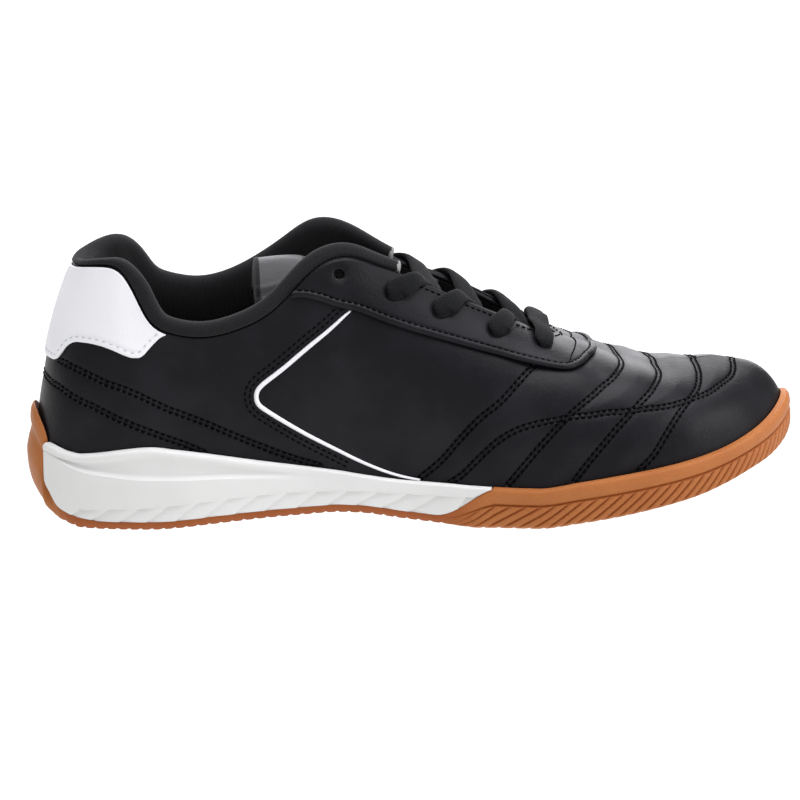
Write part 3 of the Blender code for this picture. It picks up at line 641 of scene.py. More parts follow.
POCKET_SHARES = (0.0, 0.1, 0.25, 0.4, 0.55, 0.7, 0.85, 0.97)
RIDGE_SHARES = (0.2, 0.45, 0.7, 0.9, 1.0)
# Columns: up from the ridge, out
OVER_RIDGE = ((0.45, 0.45), (0.9, -0.15), (1.4, -0.75), (HOLLOW_LIFT, -1.0))
# Columns: share of the way from the hollow to the lip, out
TO_LIP = ((0.2, -1.1), (0.4, -1.15), (0.6, -1.1), (0.8, -0.9), (0.95, -0.65))
# Columns: down from the top, out where the lip is rounded, out where it is plain
LIP = (
    (2.8, -0.25, 0.0),
    (2.4, 0.15, 0.0),
    (1.8, 0.3, 0.0),
    (1.2, 0.25, 0.0),
    (0.7, 0.0, 0.0),
    (0.3, -0.4, -0.15),
    (0.0, -1.1, -0.6),
)
# Columns: x, top of the pockets, ridge, how far the ridge and the hollow over it stand
FOAM_LINES = (
    (0.0, 8.6, 27.6, 0.0),
    (8.0, 8.0, 26.9, 0.1),
    (13.0, 7.5, 25.3, 0.7),
    (20.0, 7.5, 22.5, 1.0),
    (30.0, 8.0, 21.0, 1.0),
    (42.0, 8.4, 19.8, 1.0),
    (59.0, 9.8, 19.5, 1.0),
    (76.0, 11.8, 19.9, 0.9),
    (92.0, 13.3, 19.8, 0.5),
    (102.0, 13.9, 19.0, 0.05),
    (118.0, 14.2, 17.6, 0.0),
    (150.0, 13.1, 14.6, 0.0),
    (176.0, 12.0, 13.4, 0.0),
)
foam_line_at = level(FOAM_LINES)


def pocket(along):
    """Depth of the pockets across one column: a crisp edge at their back that runs out to the front."""
    turn = (along - POCKET_START) / POCKET_PITCH
    inside = (turn > 0) & (turn < POCKET_COUNT)
    return np.where(inside, np.clip(1 - (turn % 1.0) / POCKET_SHARE, 0.0, 1.0), 0.0)


def foam_column(side, along):
    """Sections of the midsole: under the centre line, up the shaped side, and in over the footbed."""
    behind = along <= TAIL_END
    low_rim = along < TAIL_STEP
    x = edge(side, along)[0][..., 0]
    underside, rim, footbed = np.moveaxis(sole_at(x), -1, 0)
    start = gum_top(side, np.where(low_rim, TAIL_FOOT, along)) + FOAM_SEAT
    top = np.where(low_rim, footbed, rim)
    pocket_top, ridge, ridge_share = np.moveaxis(foam_line_at(x), -1, 0)
    pocket_top = np.clip(pocket_top, start + 0.2, top - 2.0)
    lip_foot = top - FOAM_LIP
    ridge = np.clip(ridge, pocket_top + 0.5, lip_foot - 0.4)
    squeeze = np.clip((lip_foot - ridge) / HOLLOW_ROOM, 0.0, 1.0)
    hollow = ridge + HOLLOW_LIFT * squeeze
    slanting = smoothstep(*POCKET_SLANT_START, along) * (1 - smoothstep(*POCKET_SLANT_END, along))
    lean = POCKET_SLANT / EDGE_LENGTH * slanting
    hidden = FOAM_INSET - 0.2
    base = np.full_like(along, FOAM_FACE)
    rows = [spine(along, lambda at: sole_at(at)[..., 0] + GUM_EDGE + FOAM_GLUE_GAP)]
    rows.append(ledge(side, along, FOAM_INSET - 0.3, underside + GUM_EDGE + FOAM_GLUE_GAP))
    rows.append(ledge(side, along, FOAM_INSET, np.minimum(start, top)))

    def add(height, out, at, lowest=start):
        height = np.clip(height, np.minimum(lowest, top), top)
        rows.append(ledge(side, at, np.where(behind, hidden, out), height))

    for share in POCKET_SHARES:
        at = along - lean * (pocket_top - start) * (1 - share)
        foot = np.where(low_rim, start, gum_top(side, at) + FOAM_SEAT)
        depth = POCKET_DEPTH * pocket(along) * (POCKET_FOOT + (1 - POCKET_FOOT) * share)
        add(foot + (pocket_top - foot) * share, base - depth, at, foot)
    brim, face = pocket_top + POCKET_BRIM, base + FOAM_STEP
    add(brim, base, along)
    for share in RIDGE_SHARES:
        swell = RIDGE_SWELL * ridge_share * smoothstep(0.0, 1.0, share)
        add(brim + (ridge - brim) * share, face + swell, along)
    for lift, out in OVER_RIDGE:
        add(ridge + lift * squeeze, face + (out - FOAM_STEP) * ridge_share, along)
    for share, out in TO_LIP:
        add(hollow + (lip_foot - hollow) * share, face + out * ridge_share, along)
    rounding = LIP_LEAST + (1 - LIP_LEAST) * np.maximum(ridge_share, smoothstep(*LIP_HEEL, along))
    plain = smoothstep(*LIP_PLAIN, along)
    for drop, lipped, flat in LIP:
        add(top - drop, face + lipped * rounding * (1 - plain) + flat * plain, along)
    cup = np.where(behind, HEEL_CUP, 0.0)
    rows.append(ledge(side, along, cup - RIM, top))
    rows.append(ledge(side, along, 1.5 * cup - RIM - 0.1, footbed))
    rows.append(spine(along, lambda at: sole_at(at)[..., 2]))
    return np.stack(rows, axis=1)


foam_along = [0.0, 0.012, 0.024, 0.036, 0.045, TAIL_END] + list(np.linspace(TAIL_STEP, 0.11, 30))
for number in range(POCKET_COUNT):
    begin = POCKET_START + number * POCKET_PITCH
    foam_along += [begin - 0.0005, begin + 0.0005]
    foam_along += [begin + POCKET_PITCH * share for share in np.linspace(0.1, 0.9, 9)]
foam_along = np.array([a for a in foam_along if a < FOAM_END - 0.003] + [FOAM_END - 0.002, FOAM_END - 0.001])
foam_points, foam_faces = both_sides(foam_column, foam_along)
foam_rows = len(foam_points) // 2 // len(foam_along)
foam_caps = []
for end in (len(foam_points) // 2, len(foam_points)):
    ring = list(range(end - foam_rows, end))
    foam_caps += [(ring[0], ring[1], ring[-2], ring[-1]), (ring[1], ring[2], ring[-3], ring[-2])]
    foam_caps += [(ring[2], ring[k], ring[k + 1], ring[-3]) for k in range(3, foam_rows - 4)]
foam = Paint("white_foam_moulded", roughness=0.55, specular_ior_level=0.4)
foam_patch = foam.noise(0.05, 3.0)
foam_grain = foam.noise(0.0007, 2.0)
foam_fleck = foam.noise(0.0045, 2.0).between(0.74, 0.8)
foam_colour = foam.blend(foam_patch.between(0.3, 0.8), FOAM_WHITE, FOAM_GREY)
foam_material = foam.finish(base_color=foam.blend(foam_fleck * 0.25, foam_colour, FOAM_FLECK),
                            roughness=foam_patch * 0.15 + 0.48, normal=foam.bump(foam_grain, 0.00008))
midsole = piece("midsole_foam", foam_points, foam_faces.tolist() + foam_caps, foam_material, crease=38.0)
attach(midsole, "root")
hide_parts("midsole")

# Insole: a die-cut footbed of dark cloth over thin foam, lying loose on the board inside the upper.
# Its edge turns up a little where it meets the lining.
INSOLE_INSET, INSOLE_LIFT, INSOLE_THICKNESS, INSOLE_TURN_UP = 2.7, 0.8, 3.5, 0.5
INSOLE_SHARES, INSOLE_SECTIONS, WEAVE_PITCH = (0.0, 0.25, 0.5, 0.75, 0.9, 0.97, 1.0), 90, 0.0011
CLOTH_BLACK, CLOTH_GREY = (0.016, 0.016, 0.018, 1.0), (0.035, 0.035, 0.038, 1.0)


def insole_column(side, along):
    """Sections of the footbed: out along its underside and back over its top."""
    low = ledge(side, along, -INSOLE_INSET - rim_inside(along), 0.0)
    middle = spine(along, lambda at: 0 * at)
    under, over = [], []
    for share in INSOLE_SHARES:
        plan = middle[..., :2] + (low[..., :2] - middle[..., :2]) * share
        height = sole_at(plan[..., 0])[..., 2] + INSOLE_LIFT
        thickness = INSOLE_THICKNESS - (INSOLE_TURN_UP if share == 1.0 else 0.0)
        thickness += INSOLE_TURN_UP * smoothstep(0.7, 1.0, share)
        under.append(stack(plan[..., 0], plan[..., 1], height))
        over.append(stack(plan[..., 0], plan[..., 1], height + thickness))
    return np.stack(under + over[::-1], axis=1)


cloth = Paint("insole_cloth_woven", roughness=0.92, specular_ior_level=0.25)
cloth_at = cloth.place()
cloth_x = cloth.add("SeparateXYZ", {}, {"Vector": cloth_at}, output="X")
cloth_y = cloth.add("SeparateXYZ", {}, {"Vector": cloth_at}, output="Y")
cloth_weave = cloth_x.wave(WEAVE_PITCH) * cloth_y.wave(WEAVE_PITCH)
cloth_material = cloth.finish(base_color=cloth.blend(cloth_weave, CLOTH_BLACK, CLOTH_GREY),
                              roughness=cloth.noise(0.01) * 0.1 + 0.85,
                              normal=cloth.bump(cloth_weave, 0.0003))
insole_along = np.linspace(0.0, 1.0, INSOLE_SECTIONS)
insole = piece("insole_footbed", *both_sides(insole_column, insole_along), cloth_material)
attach(insole, "root")
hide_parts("insole")

# Upper: black coated leather pulled over a last, closed up the front and cemented into the sole.
# Stitched lines quilt its forefoot, and a toe cap seam and two heel counter seams press into it.
THROAT_CORNER, THROAT_FRONT = 0.53, 0.71
UPPER_WALL = 1.8
PAIR_HALF = 0.85
SPINE_HEEL, SPINE_TOE = 36.0, 259.0
HOLE_RADIUS = 2.1
FAR_FROM_SEAM = 30.0
LEATHER_STEP = 0.004
UPRIGHT = np.array([0.0, 0.0, 1.0])
TOE_STEADY_FROM, TOE_STEADY_WITHIN = 7.0, 3.0
LEATHER_BLACK, LEATHER_WORN = (0.0046, 0.0044, 0.0062, 1.0), (0.0087, 0.0084, 0.0116, 1.0)
# Columns: share of the edge, x, lateral y, medial y, lateral z, medial z
TOPLINE = (
    (0.00, 19.0, 0.0, 0.0, 96.9, 96.9),
    (0.05, 22.0, -12.0, 12.0, 98.0, 97.8),
    (0.10, 30.0, -21.0, 21.0, 99.7, 98.8),
    (0.135, 36.5, -24.8, 24.8, 98.0, 98.0),
    (0.165, 41.5, -27.0, 27.0, 90.0, 92.5),
    (0.195, 47.0, -29.0, 28.5, 79.5, 85.6),
    (0.23, 55.5, -30.3, 29.8, 74.4, 81.6),
    (0.27, 67.0, -31.0, 30.5, 73.0, 79.9),
    (0.32, 82.0, -30.8, 30.3, 76.4, 83.3),
    (0.365, 95.0, -29.5, 29.0, 83.8, 90.6),
    (0.40, 104.5, -27.7, 27.3, 93.4, 97.8),
    (0.435, 114.0, -25.0, 25.0, 100.5, 104.0),
    (0.465, 123.0, -23.0, 23.0, 101.8, 103.4),
    (0.495, 132.0, -21.3, 21.3, 98.6, 99.2),
    (0.53, 143.0, -19.3, 19.3, 94.2, 93.6),
    (0.58, 160.0, -17.0, 17.5, 86.4, 87.4),
    (0.63, 176.5, -14.0, 15.5, 78.6, 79.8),
    (0.67, 190.0, -10.5, 12.5, 71.8, 72.8),
    (0.695, 198.5, -6.0, 8.0, 67.6, 68.2),
    (0.71, 203.0, 1.0, 1.0, 65.8, 65.8),
    (0.76, 215.0, 1.5, 1.5, 61.9, 61.9),
    (0.82, 229.0, 2.0, 2.0, 58.0, 58.0),
    (0.88, 242.0, 2.5, 2.5, 56.4, 56.4),
    (0.94, 252.5, 3.0, 3.0, 56.2, 56.2),
    (1.00, 259.0, 3.0, 3.0, 56.5, 56.5),
)
# Columns: share of the edge, rise and pull at the sole, rise and pull at the upper edge
SWEEP = (
    (0.00, 84.0, 0.38, 66.0, 0.30),
    (0.10, 88.0, 0.36, 78.0, 0.30),
    (0.22, 94.0, 0.36, 84.0, 0.30),
    (0.32, 92.0, 0.34, 80.0, 0.30),
    (0.45, 88.0, 0.36, 64.0, 0.34),
    (0.55, 84.0, 0.38, 48.0, 0.36),
    (0.65, 86.0, 0.42, 30.0, 0.42),
    (0.71, 88.0, 0.46, 8.5, 0.50),
    (0.80, 86.0, 0.46, 7.5, 0.52),
    (0.85, 80.8, 0.445, 6.0, 0.52),
    (0.90, 74.0, 0.42, 2.2, 0.52),
    (1.00, 62.0, 0.35, 0.0, 0.52),
)
# Rows of each line: share of the edge, share of the height
QUILT_LINES = (
    ((0.648, 0.671), (0.617, 0.519), (0.594, 0.412), (0.565, 0.307), (0.537, 0.195), (0.511, 0.086),
     (0.488, 0.011)),
    ((0.818, 1.000), (0.798, 0.920), (0.778, 0.828), (0.746, 0.668), (0.718, 0.541), (0.699, 0.475),
     (0.683, 0.421), (0.651, 0.294), (0.625, 0.190), (0.599, 0.074), (0.585, 0.010)),
    ((0.881, 1.000), (0.860, 0.930), (0.838, 0.847), (0.808, 0.680), (0.783, 0.545), (0.761, 0.432),
     (0.742, 0.352), (0.714, 0.232), (0.690, 0.139), (0.666, 0.036), (0.660, 0.008)),
    ((0.984, 0.985), (0.962, 0.950), (0.928, 0.875), (0.886, 0.717), (0.861, 0.596), (0.831, 0.440),
     (0.812, 0.363), (0.789, 0.255), (0.770, 0.155), (0.750, 0.051), (0.734, 0.003)),
)
TOE_CAP_LINE = (
    (0.520, 0.000), (0.532, 0.032), (0.556, 0.122), (0.582, 0.214), (0.607, 0.278), (0.631, 0.314),
    (0.653, 0.327), (0.674, 0.336), (0.695, 0.333), (0.717, 0.312), (0.741, 0.315), (0.766, 0.318),
    (0.795, 0.341), (0.812, 0.363), (0.847, 0.394), (0.872, 0.433), (0.903, 0.475), (0.935, 0.552),
    (0.957, 0.615), (0.979, 0.665), (1.000, 0.690),
)
COUNTER_LINES = (
    ((0.054, 0.436), (0.099, 0.411), (0.145, 0.360), (0.184, 0.355), (0.221, 0.317),
     (0.255, 0.257), (0.287, 0.174), (0.314, 0.109), (0.346, 0.046), (0.378, 0.008)),
    ((0.000, 0.330), (0.030, 0.320), (0.057, 0.302), (0.089, 0.277), (0.117, 0.246), (0.147, 0.190),
     (0.175, 0.140), (0.201, 0.096), (0.226, 0.058), (0.251, 0.002)),
)
# Columns: lines, depth of the crease at the seam, depth of the soft press round it
PRESSES = (
    (QUILT_LINES, 0.4, 0.85),
    ((TOE_CAP_LINE,), 0.4, 0.6),
    (COUNTER_LINES, 0.25, 0.12),
)
CREASE_WIDTH, SOFT_WIDTH, PRESS_POINTS, THREAD_SPACING = 1.5, 6.5, 160, 0.8
# Columns: share of the edge, share of the height
EYELETS = ((0.674, 0.85), (0.623, 0.85), (0.563, 0.86), (0.513, 0.88), (0.450, 0.923))
topline_at, sweep_at = flowing(TOPLINE), flowing(SWEEP)


def feather(side, along):
    """Where the leather comes out of the sole: just inside the rim, and behind the gum tail."""
    rim = sole_at(edge(side, along)[0][..., 0])[..., 1]
    return ledge(side, along, -rim_inside(along) - GAP - 0.1, rim)


def leather(side, along, up):
    """The outer face of the upper: up runs from 0 at the sole to 1 at the upper edge."""
    along, up = np.broadcast_arrays(np.asarray(along, float), np.asarray(up, float))
    x, lateral_y, medial_y, lateral_z, medial_z = np.moveaxis(topline_at(along), -1, 0)
    joined = along >= THROAT_FRONT
    own_y, own_z = (lateral_y, lateral_z) if side == LATERAL else (medial_y, medial_z)
    top_y = np.where(joined, (lateral_y + medial_y) / 2, own_y)
    top_z = np.where(joined, (lateral_z + medial_z) / 2, own_z)
    top = stack(x, top_y, top_z)
    low = feather(side, along)
    axis = stack(SPINE_HEEL + (SPINE_TOE - SPINE_HEEL) * along, 2.0 * along)
    inward = unit(axis - low[..., :2])
    low_rise, low_pull, top_rise, top_pull = np.moveaxis(sweep_at(along), -1, 0)
    reach = np.linalg.norm(top - low, axis=-1)

    def way(degrees):
        turn = np.radians(degrees)
        return stack(inward[..., 0] * np.cos(turn), inward[..., 1] * np.cos(turn), np.sin(turn))

    first = low + way(low_rise) * (low_pull * reach)[..., None]
    second = top - way(top_rise) * (top_pull * reach)[..., None]
    u, d = up[..., None], 1 - up[..., None]
    return low * d ** 3 + 3 * first * d * d * u + 3 * second * d * u * u + top * u ** 3


def leather_frame(side, along, up):
    """Points on the leather, their outward normals, and the way up the wall."""
    along, up = np.broadcast_arrays(np.asarray(along, float), np.asarray(up, float))
    higher, lower = np.minimum(up + LEATHER_STEP, 1.0), np.maximum(up - LEATHER_STEP, 0.0)
    onward, back = np.minimum(along + LEATHER_STEP, 1.0), np.maximum(along - LEATHER_STEP, 0.0)
    rise = leather(side, along, higher) - leather(side, along, lower)
    run = leather(side, onward, up) - leather(side, back, up)
    return leather(side, along, up), unit(np.cross(run, rise)) * -side, unit(rise)


def line_on_leather(side, rows, count=None):
    """Even places along a line drawn on the leather through rows, close enough for thread without a count."""
    rows = np.asarray(rows, float)
    run = run_along(leather(side, rows[:, 0], rows[:, 1]))
    count = count or int(run[-1] / THREAD_SPACING) + 2
    places = level(np.column_stack([run, rows]))(np.linspace(0.0, run[-1], count))
    return places[:, 0], np.clip(places[:, 1], 0.0, 1.0)


def distance_to(points, line):
    """Distance of every point from a dense line of points."""
    nearest = np.full(len(points), np.inf)
    batch = 4000
    for start in range(0, len(points), batch):
        part = points[start:start + batch]
        nearest[start:start + batch] = np.sqrt(((part[:, None, :] - line[None, :, :]) ** 2).sum(-1).min(1))
    return nearest


upper_along = spans((0.0, 0.98, 290), (0.984, 1.0, 6))
upper_up = np.linspace(0.0, 1.0, 70)


def upper_column(side, along):
    """The leather from its lasting edge in the sole up to the collar, throat or ridge."""
    tuck = ledge(side, along, -rim_inside(along) - GAP - 0.1, 0.0)
    tuck = stack(tuck[..., 0], tuck[..., 1], sole_at(tuck[..., 0])[..., 2] + GAP + 0.1)
    wall = leather(side, along[:, None], upper_up[None, :])
    return np.concatenate([tuck[:, None, :], wall], axis=1)


def upper_normals(side, along):
    """The way the relief moves each point: outwards, the same for both sides where they join."""
    here, normal, _ = leather_frame(side, along[:, None], upper_up[None, :])
    other = leather_frame(-side, along[:, None], upper_up[None, :])[1]
    ends = (along[:, None] == 0.0) | (along[:, None] == 1.0)
    ridge = (upper_up[None, :] == 1.0) & (along[:, None] >= THROAT_FRONT)
    normal = np.where((ends | ridge)[..., None], unit(normal + other + UPRIGHT * 0.01), normal)
    from_toe = np.linalg.norm(here - leather(side, 1.0, 1.0), axis=-1)
    steady = smoothstep(TOE_STEADY_FROM, TOE_STEADY_WITHIN, from_toe)[..., None]
    normal = unit(normal * (1 - steady) + UPRIGHT * steady)
    return np.concatenate([normal[:, :1], normal], axis=1).reshape(-1, 3)


def cut_holes(points, faces, centres, radius):
    """Opens round holes in a fine grid: faces inside go, and points left on the edge move to the circle."""
    points, faces = np.array(points), np.asarray(faces)
    for centre in centres:
        from_centre = points[faces].mean(axis=1) - centre
        inside = np.linalg.norm(from_centre, axis=1) < radius
        border = np.intersect1d(faces[inside].ravel(), faces[~inside].ravel())
        spokes = points[border] - centre
        points[border] = centre + spokes / np.linalg.norm(spokes, axis=1, keepdims=True) * radius
        faces = faces[~inside]
    return points, faces


def wall(item, thickness, offset):
    """Gives a sheet its thickness in mm, inwards for -1 and outwards for 1."""
    solid = item.modifiers.new("wall", "SOLIDIFY")
    solid.thickness, solid.offset = thickness * MM, offset
    solid.use_even_offset = False
    solid.use_rim = True


upper_points, upper_faces = both_sides(upper_column, upper_along)
eyelet_places = [leather(side, *place) for side in SIDES for place in EYELETS]
upper_relief = np.zeros(len(upper_points))
upper_seam = np.full(len(upper_points), FAR_FROM_SEAM)
for lines, crease, soft in PRESSES:
    for rows in lines:
        line = np.vstack([leather(side, *line_on_leather(side, rows, PRESS_POINTS)) for side in SIDES])
        away = distance_to(upper_points, line)
        press = crease * hump(away, CREASE_WIDTH) + soft * hump(away, SOFT_WIDTH)
        upper_relief = np.minimum(upper_relief, -press)
        upper_seam = np.minimum(upper_seam, away)
upper_way = np.vstack([upper_normals(side, upper_along) for side in SIDES])
upper_points = upper_points + upper_way * upper_relief[:, None]
upper_points, upper_faces = cut_holes(upper_points, upper_faces, eyelet_places, HOLE_RADIUS)


def hide_finish(name, black, worn):
    """Smooth coated leather with a fine grain, pressed in beside paired stitch rows."""
    hide = Paint(name, roughness=0.4, specular_ior_level=0.16, coat_roughness=0.35)
    pebble, pore = hide.noise(0.0011, 3.0), hide.noise(0.00035, 2.0)
    cloud, pull = hide.noise(0.022, 3.0), hide.noise(0.006, 2.0)
    seam = hide.attribute("seam")
    near_seam = 1 - seam.between(0.5, 4.0)
    pressed = hide.bump(pull * 0.3 + abs(seam - PAIR_HALF).between(0.0, 0.6), 0.0004)
    return hide.finish(base_color=hide.blend(cloud.between(0.35, 0.75), black, worn),
                       roughness=cloud * 0.05 + pebble * 0.1 + near_seam * 0.06 + 0.34,
                       coat_weight=cloud.between(0.3, 0.7) * 0.04,
                       normal=hide.bump(pebble * 0.7 + pore * 0.3, 0.00016, pressed))


hide_material = hide_finish("black_leather_coated", LEATHER_BLACK, LEATHER_WORN)
upper = piece("upper_leather", upper_points, upper_faces, hide_material, {"seam": upper_seam}, crease=60.0)
wall(upper, UPPER_WALL, -1.0)
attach(upper, "root")
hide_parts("upper")

# Lining: dark spacer knit sewn in behind the leather, from the topline down to the footbed.
# Its small open cells show inside the collar.
LINING_OFFSET, LINING_THICKNESS, LINING_LOW, LINING_END = 1.95, 0.45, 0.06, 0.7
LINING_ROWS, LINING_SECTIONS, LINING_CELLS = 40, 130, 700.0
EDGE_OF_LEATHER = 0.985
KNIT_BLACK, KNIT_GREY = (0.006, 0.006, 0.0068, 1.0), (0.02, 0.02, 0.022, 1.0)


def lining_column(side, along):
    """Sections of the knit behind the leather, from the footbed up to the edge."""
    up = np.linspace(LINING_LOW, EDGE_OF_LEATHER, LINING_ROWS)
    here, normal, _ = leather_frame(side, along[:, None], up[None, :])
    return here - normal * LINING_OFFSET


lining_knit = Paint("lining_knit_open", roughness=0.95, specular_ior_level=0.2, sheen_weight=0.15)
lining_cells = {"Vector": lining_knit.place(), "Scale": LINING_CELLS, "Randomness": 0.35}
lining_cell = lining_knit.add("TexVoronoi", {"feature": "F1"}, lining_cells)
lining_hole = 1 - lining_cell.between(0.15, 0.5)
lining_material = lining_knit.finish(base_color=lining_knit.blend(lining_hole, KNIT_GREY, KNIT_BLACK),
                                     roughness=lining_cell * 0.1 + 0.85,
                                     normal=lining_knit.bump(1 - lining_hole, 0.0006))
lining_along = np.linspace(0.0, LINING_END, LINING_SECTIONS)
lining = piece("lining_knit", *both_sides(lining_column, lining_along), lining_material)
wall(lining, LINING_THICKNESS, -1.0)
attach(lining, "root")

# Collar: a padded roll of ribbed knit, folded over foam along the topline and sewn to leather and lining.
# It thins out towards the throat and ends there in a cut edge.
LINING_FACE = -2.5
COLLAR_END = THROAT_CORNER - 0.004
COLLAR_THIN_FROM, COLLAR_THIN_DEPTH, COLLAR_THIN_PAD = 0.40, 0.35, 0.55
PILLOW_DEPTH, PILLOW_TURNS, PILLOW_RUN_IN = 0.06, 61.0, (0.02, 0.1)
RIB_PITCH = 0.7
CUT_EDGE = (0.30, 0.30, 0.29, 1.0)
FAR_END_FOLD = 0.5
COLLAR_CREST = 20
# Columns: share of an end's ring, how far past the end
END_CAP = ((0.9, 0.32), (0.6, 0.56), (0.1, 0.64))
# Columns: turn round the section, out from the leather, up from its edge
COLLAR = (
    (0.0, -2.5, -18.0),
    (1.0, -2.5, -9.0),
    (2.0, -2.5, -0.6),
    (2.6, -1.7, 0.45),
    (3.4, 0.05, 0.45),
    (4.0, 0.9, 1.3),
    (5.0, 1.1, 3.2),
    (6.0, 0.2, 5.2),
    (7.0, -2.2, 6.2),
    (8.0, -4.6, 5.4),
    (9.0, -6.2, 2.8),
    (10.0, -6.8, -3.0),
    (11.0, -6.2, -11.0),
    (12.0, -4.0, -17.2),
    (13.0, -2.5, -18.0),
)
COLLAR_ROUND = 44
# Columns: share of the edge, how fully the roll rises on the lateral side, on the medial side
COLLAR_RISE = (
    (0.000, 0.42, 0.42),
    (0.050, 0.42, 0.52),
    (0.100, 0.46, 0.82),
    (0.135, 0.70, 0.92),
    (0.170, 1.00, 1.00),
    (0.530, 1.00, 1.00),
)


def shared_normals(side, along, up):
    """Frame on the leather, with one normal for both sides at the back of the heel."""
    here, normal, rise = leather_frame(side, along, up)
    other = leather_frame(-side, along, up)[1]
    middle = (np.broadcast_to(np.asarray(along, float), here.shape[:-1]) == 0.0)[..., None]
    return here, np.where(middle, unit(normal + other), normal), rise


def collar_rings(side, along):
    """Closed sections of the roll across the topline."""
    here, normal, _ = shared_normals(side, along, 1.0)
    round_heel = (along < LEATHER_STEP)[..., None]
    behind = leather(side, np.maximum(along - LEATHER_STEP, 0.0), 1.0)
    behind = np.where(round_heel, leather(-side, LEATHER_STEP, 1.0), behind)
    across = unit(np.cross(leather(side, along + LEATHER_STEP, 1.0) - behind, normal))
    across = across * np.sign(across[..., 2:3])
    thin = smoothstep(COLLAR_THIN_FROM, THROAT_CORNER, along)
    height = np.linalg.norm(here - feather(side, along), axis=-1)
    pillow = 1 + PILLOW_DEPTH * np.sin(along * PILLOW_TURNS) * smoothstep(*PILLOW_RUN_IN, along)
    rise = level(COLLAR_RISE)(along)[:, SIDES.index(side)]
    rings = []
    for out, up in level(COLLAR)(np.linspace(0.0, COLLAR[-1][0], COLLAR_ROUND, endpoint=False)):
        padding = np.minimum(out - LINING_FACE, 0.0) * (1 - (1 - COLLAR_THIN_PAD) * thin) * pillow
        out = max(out, LINING_FACE) + padding
        if up > 0:
            rings.append(here + normal * out[:, None] + across * up * rise[:, None])
        else:
            share = 1.0 + up / height * (1 - (1 - COLLAR_THIN_DEPTH) * thin)
            inside, inside_normal, _ = shared_normals(side, along, share)
            rings.append(inside + inside_normal * out[:, None])
    return np.stack(rings, axis=1)


def rolled(name, rings, material, values, crease=60.0):
    """A closed skin over rings of points; both ends round off to a cap."""
    caps = []
    for last, before in ((rings[0], rings[1]), (rings[-1], rings[-2])):
        middle = last.mean(0)
        past = unit(middle - before.mean(0))
        caps.append(np.array([middle + (last - middle) * share + past * far for share, far in END_CAP]))
    skin = np.concatenate([caps[0][::-1], rings, caps[1]])
    count, around = skin.shape[:2]
    faces = [tuple(range(around)), tuple(range((count - 1) * around, count * around))]
    for ring in range(count - 1):
        for i in range(around):
            a, b = ring * around + i, ring * around + (i + 1) % around
            faces.append((a, b, b + around, a + around))
    fields = {}
    for field, numbers in values.items():
        numbers = np.asarray(numbers)
        spread = np.concatenate([numbers[:1]] * len(END_CAP) + [numbers] + [numbers[-1:]] * len(END_CAP))
        fields[field] = np.repeat(spread, around) if spread.ndim == 1 else spread.ravel()
    return piece(name, skin.reshape(-1, 3), faces, material, fields, crease=crease)


collar_along = np.linspace(0.0, COLLAR_END, 190)
collar_lateral, collar_medial = collar_rings(LATERAL, collar_along), collar_rings(MEDIAL, collar_along[1:])
collar_skin = np.concatenate([collar_lateral[::-1], collar_medial])
collar_run = run_along(collar_skin[:, COLLAR_CREST])
collar_cut = np.minimum(collar_run, collar_run[-1] - collar_run + FAR_END_FOLD)
knit = Paint("collar_knit_ribbed", roughness=0.9, specular_ior_level=0.15, sheen_weight=0.1)
knit_rib = knit.attribute("run").wave(RIB_PITCH)
knit_fuzz = knit.noise(0.0004, 2.0)
knit_cloud = knit.noise(0.012, 2.0)
knit_colour = knit.blend(knit_rib * 0.3 + knit_fuzz * 0.4, KNIT_BLACK, KNIT_GREY)
knit_fray = knit.noise(0.0016, 3.0) * 2.6 - 0.9
knit_end = 1 - (knit.attribute("cut") - knit_fray).between(0.2, 0.9)
knit_material = knit.finish(base_color=knit.blend(knit_end, knit_colour, CUT_EDGE),
                            roughness=knit_cloud * 0.1 + 0.85,
                            normal=knit.bump(knit_rib * 0.7 + knit_fuzz * 0.5, 0.0002))
collar = rolled("collar_roll", collar_skin, knit_material, {"run": collar_run, "cut": collar_cut})
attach(collar, "root")
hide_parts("collar")

# Tongue: a padded flap of the same leather, sewn in under the front of the throat.
# Its free end lies back in the collar, bound with knit, and a seam crosses it below the binding.
TONGUE_THICKNESS = 4.0
TONGUE_ROUND = 112
TONGUE_SEAM, TONGUE_RIDGE, TONGUE_RIDGE_WIDTH = 0.77, 0.7, 0.035
TONGUE_GROOVE, TONGUE_GROOVE_WIDTH = 0.08, 0.03
TONGUE_FLATTEN, TONGUE_FILL = 0.6, 0.75
TONGUE_CROSS_SEAM, TONGUE_SEAM_PRESS, TONGUE_SEAM_WIDTH = 19.0, 0.28, 1.6
BINDING_LENGTH, BINDING_REACH, BINDING_GROW, BINDING_TURN = 0.5, 1.0, 0.35, 110.0
NO_CUT = 9.0
# The tongue's leather colours are much lighter than the upper's: painted light for the light from above and
# behind that falls on its top.
TONGUE_PAINTED_LIGHT, TONGUE_PAINTED_LIGHT_WORN = (0.045, 0.045, 0.048, 1.0), (0.06, 0.06, 0.064, 1.0)
# Columns: x, crown, half width, drop of the edges
TONGUE = (
    (206.0, 62.0, 12.0, 4.0),
    (195.0, 65.0, 15.0, 6.0),
    (180.0, 71.5, 19.0, 9.0),
    (160.0, 80.5, 21.0, 11.0),
    (145.0, 87.0, 20.0, 11.0),
    (130.0, 93.0, 17.5, 10.0),
    (115.0, 97.0, 17.0, 10.0),
    (100.0, 98.3, 19.0, 13.0),
    (89.0, 97.3, 20.5, 15.0),
)
tongue_at = flowing([(-x, crown, half, drop) for x, crown, half, drop in TONGUE])


def swollen(value, power):
    """A value between -1 and 1 pushed out towards its ends, with its sign kept."""
    return math.copysign(abs(value) ** power, value)


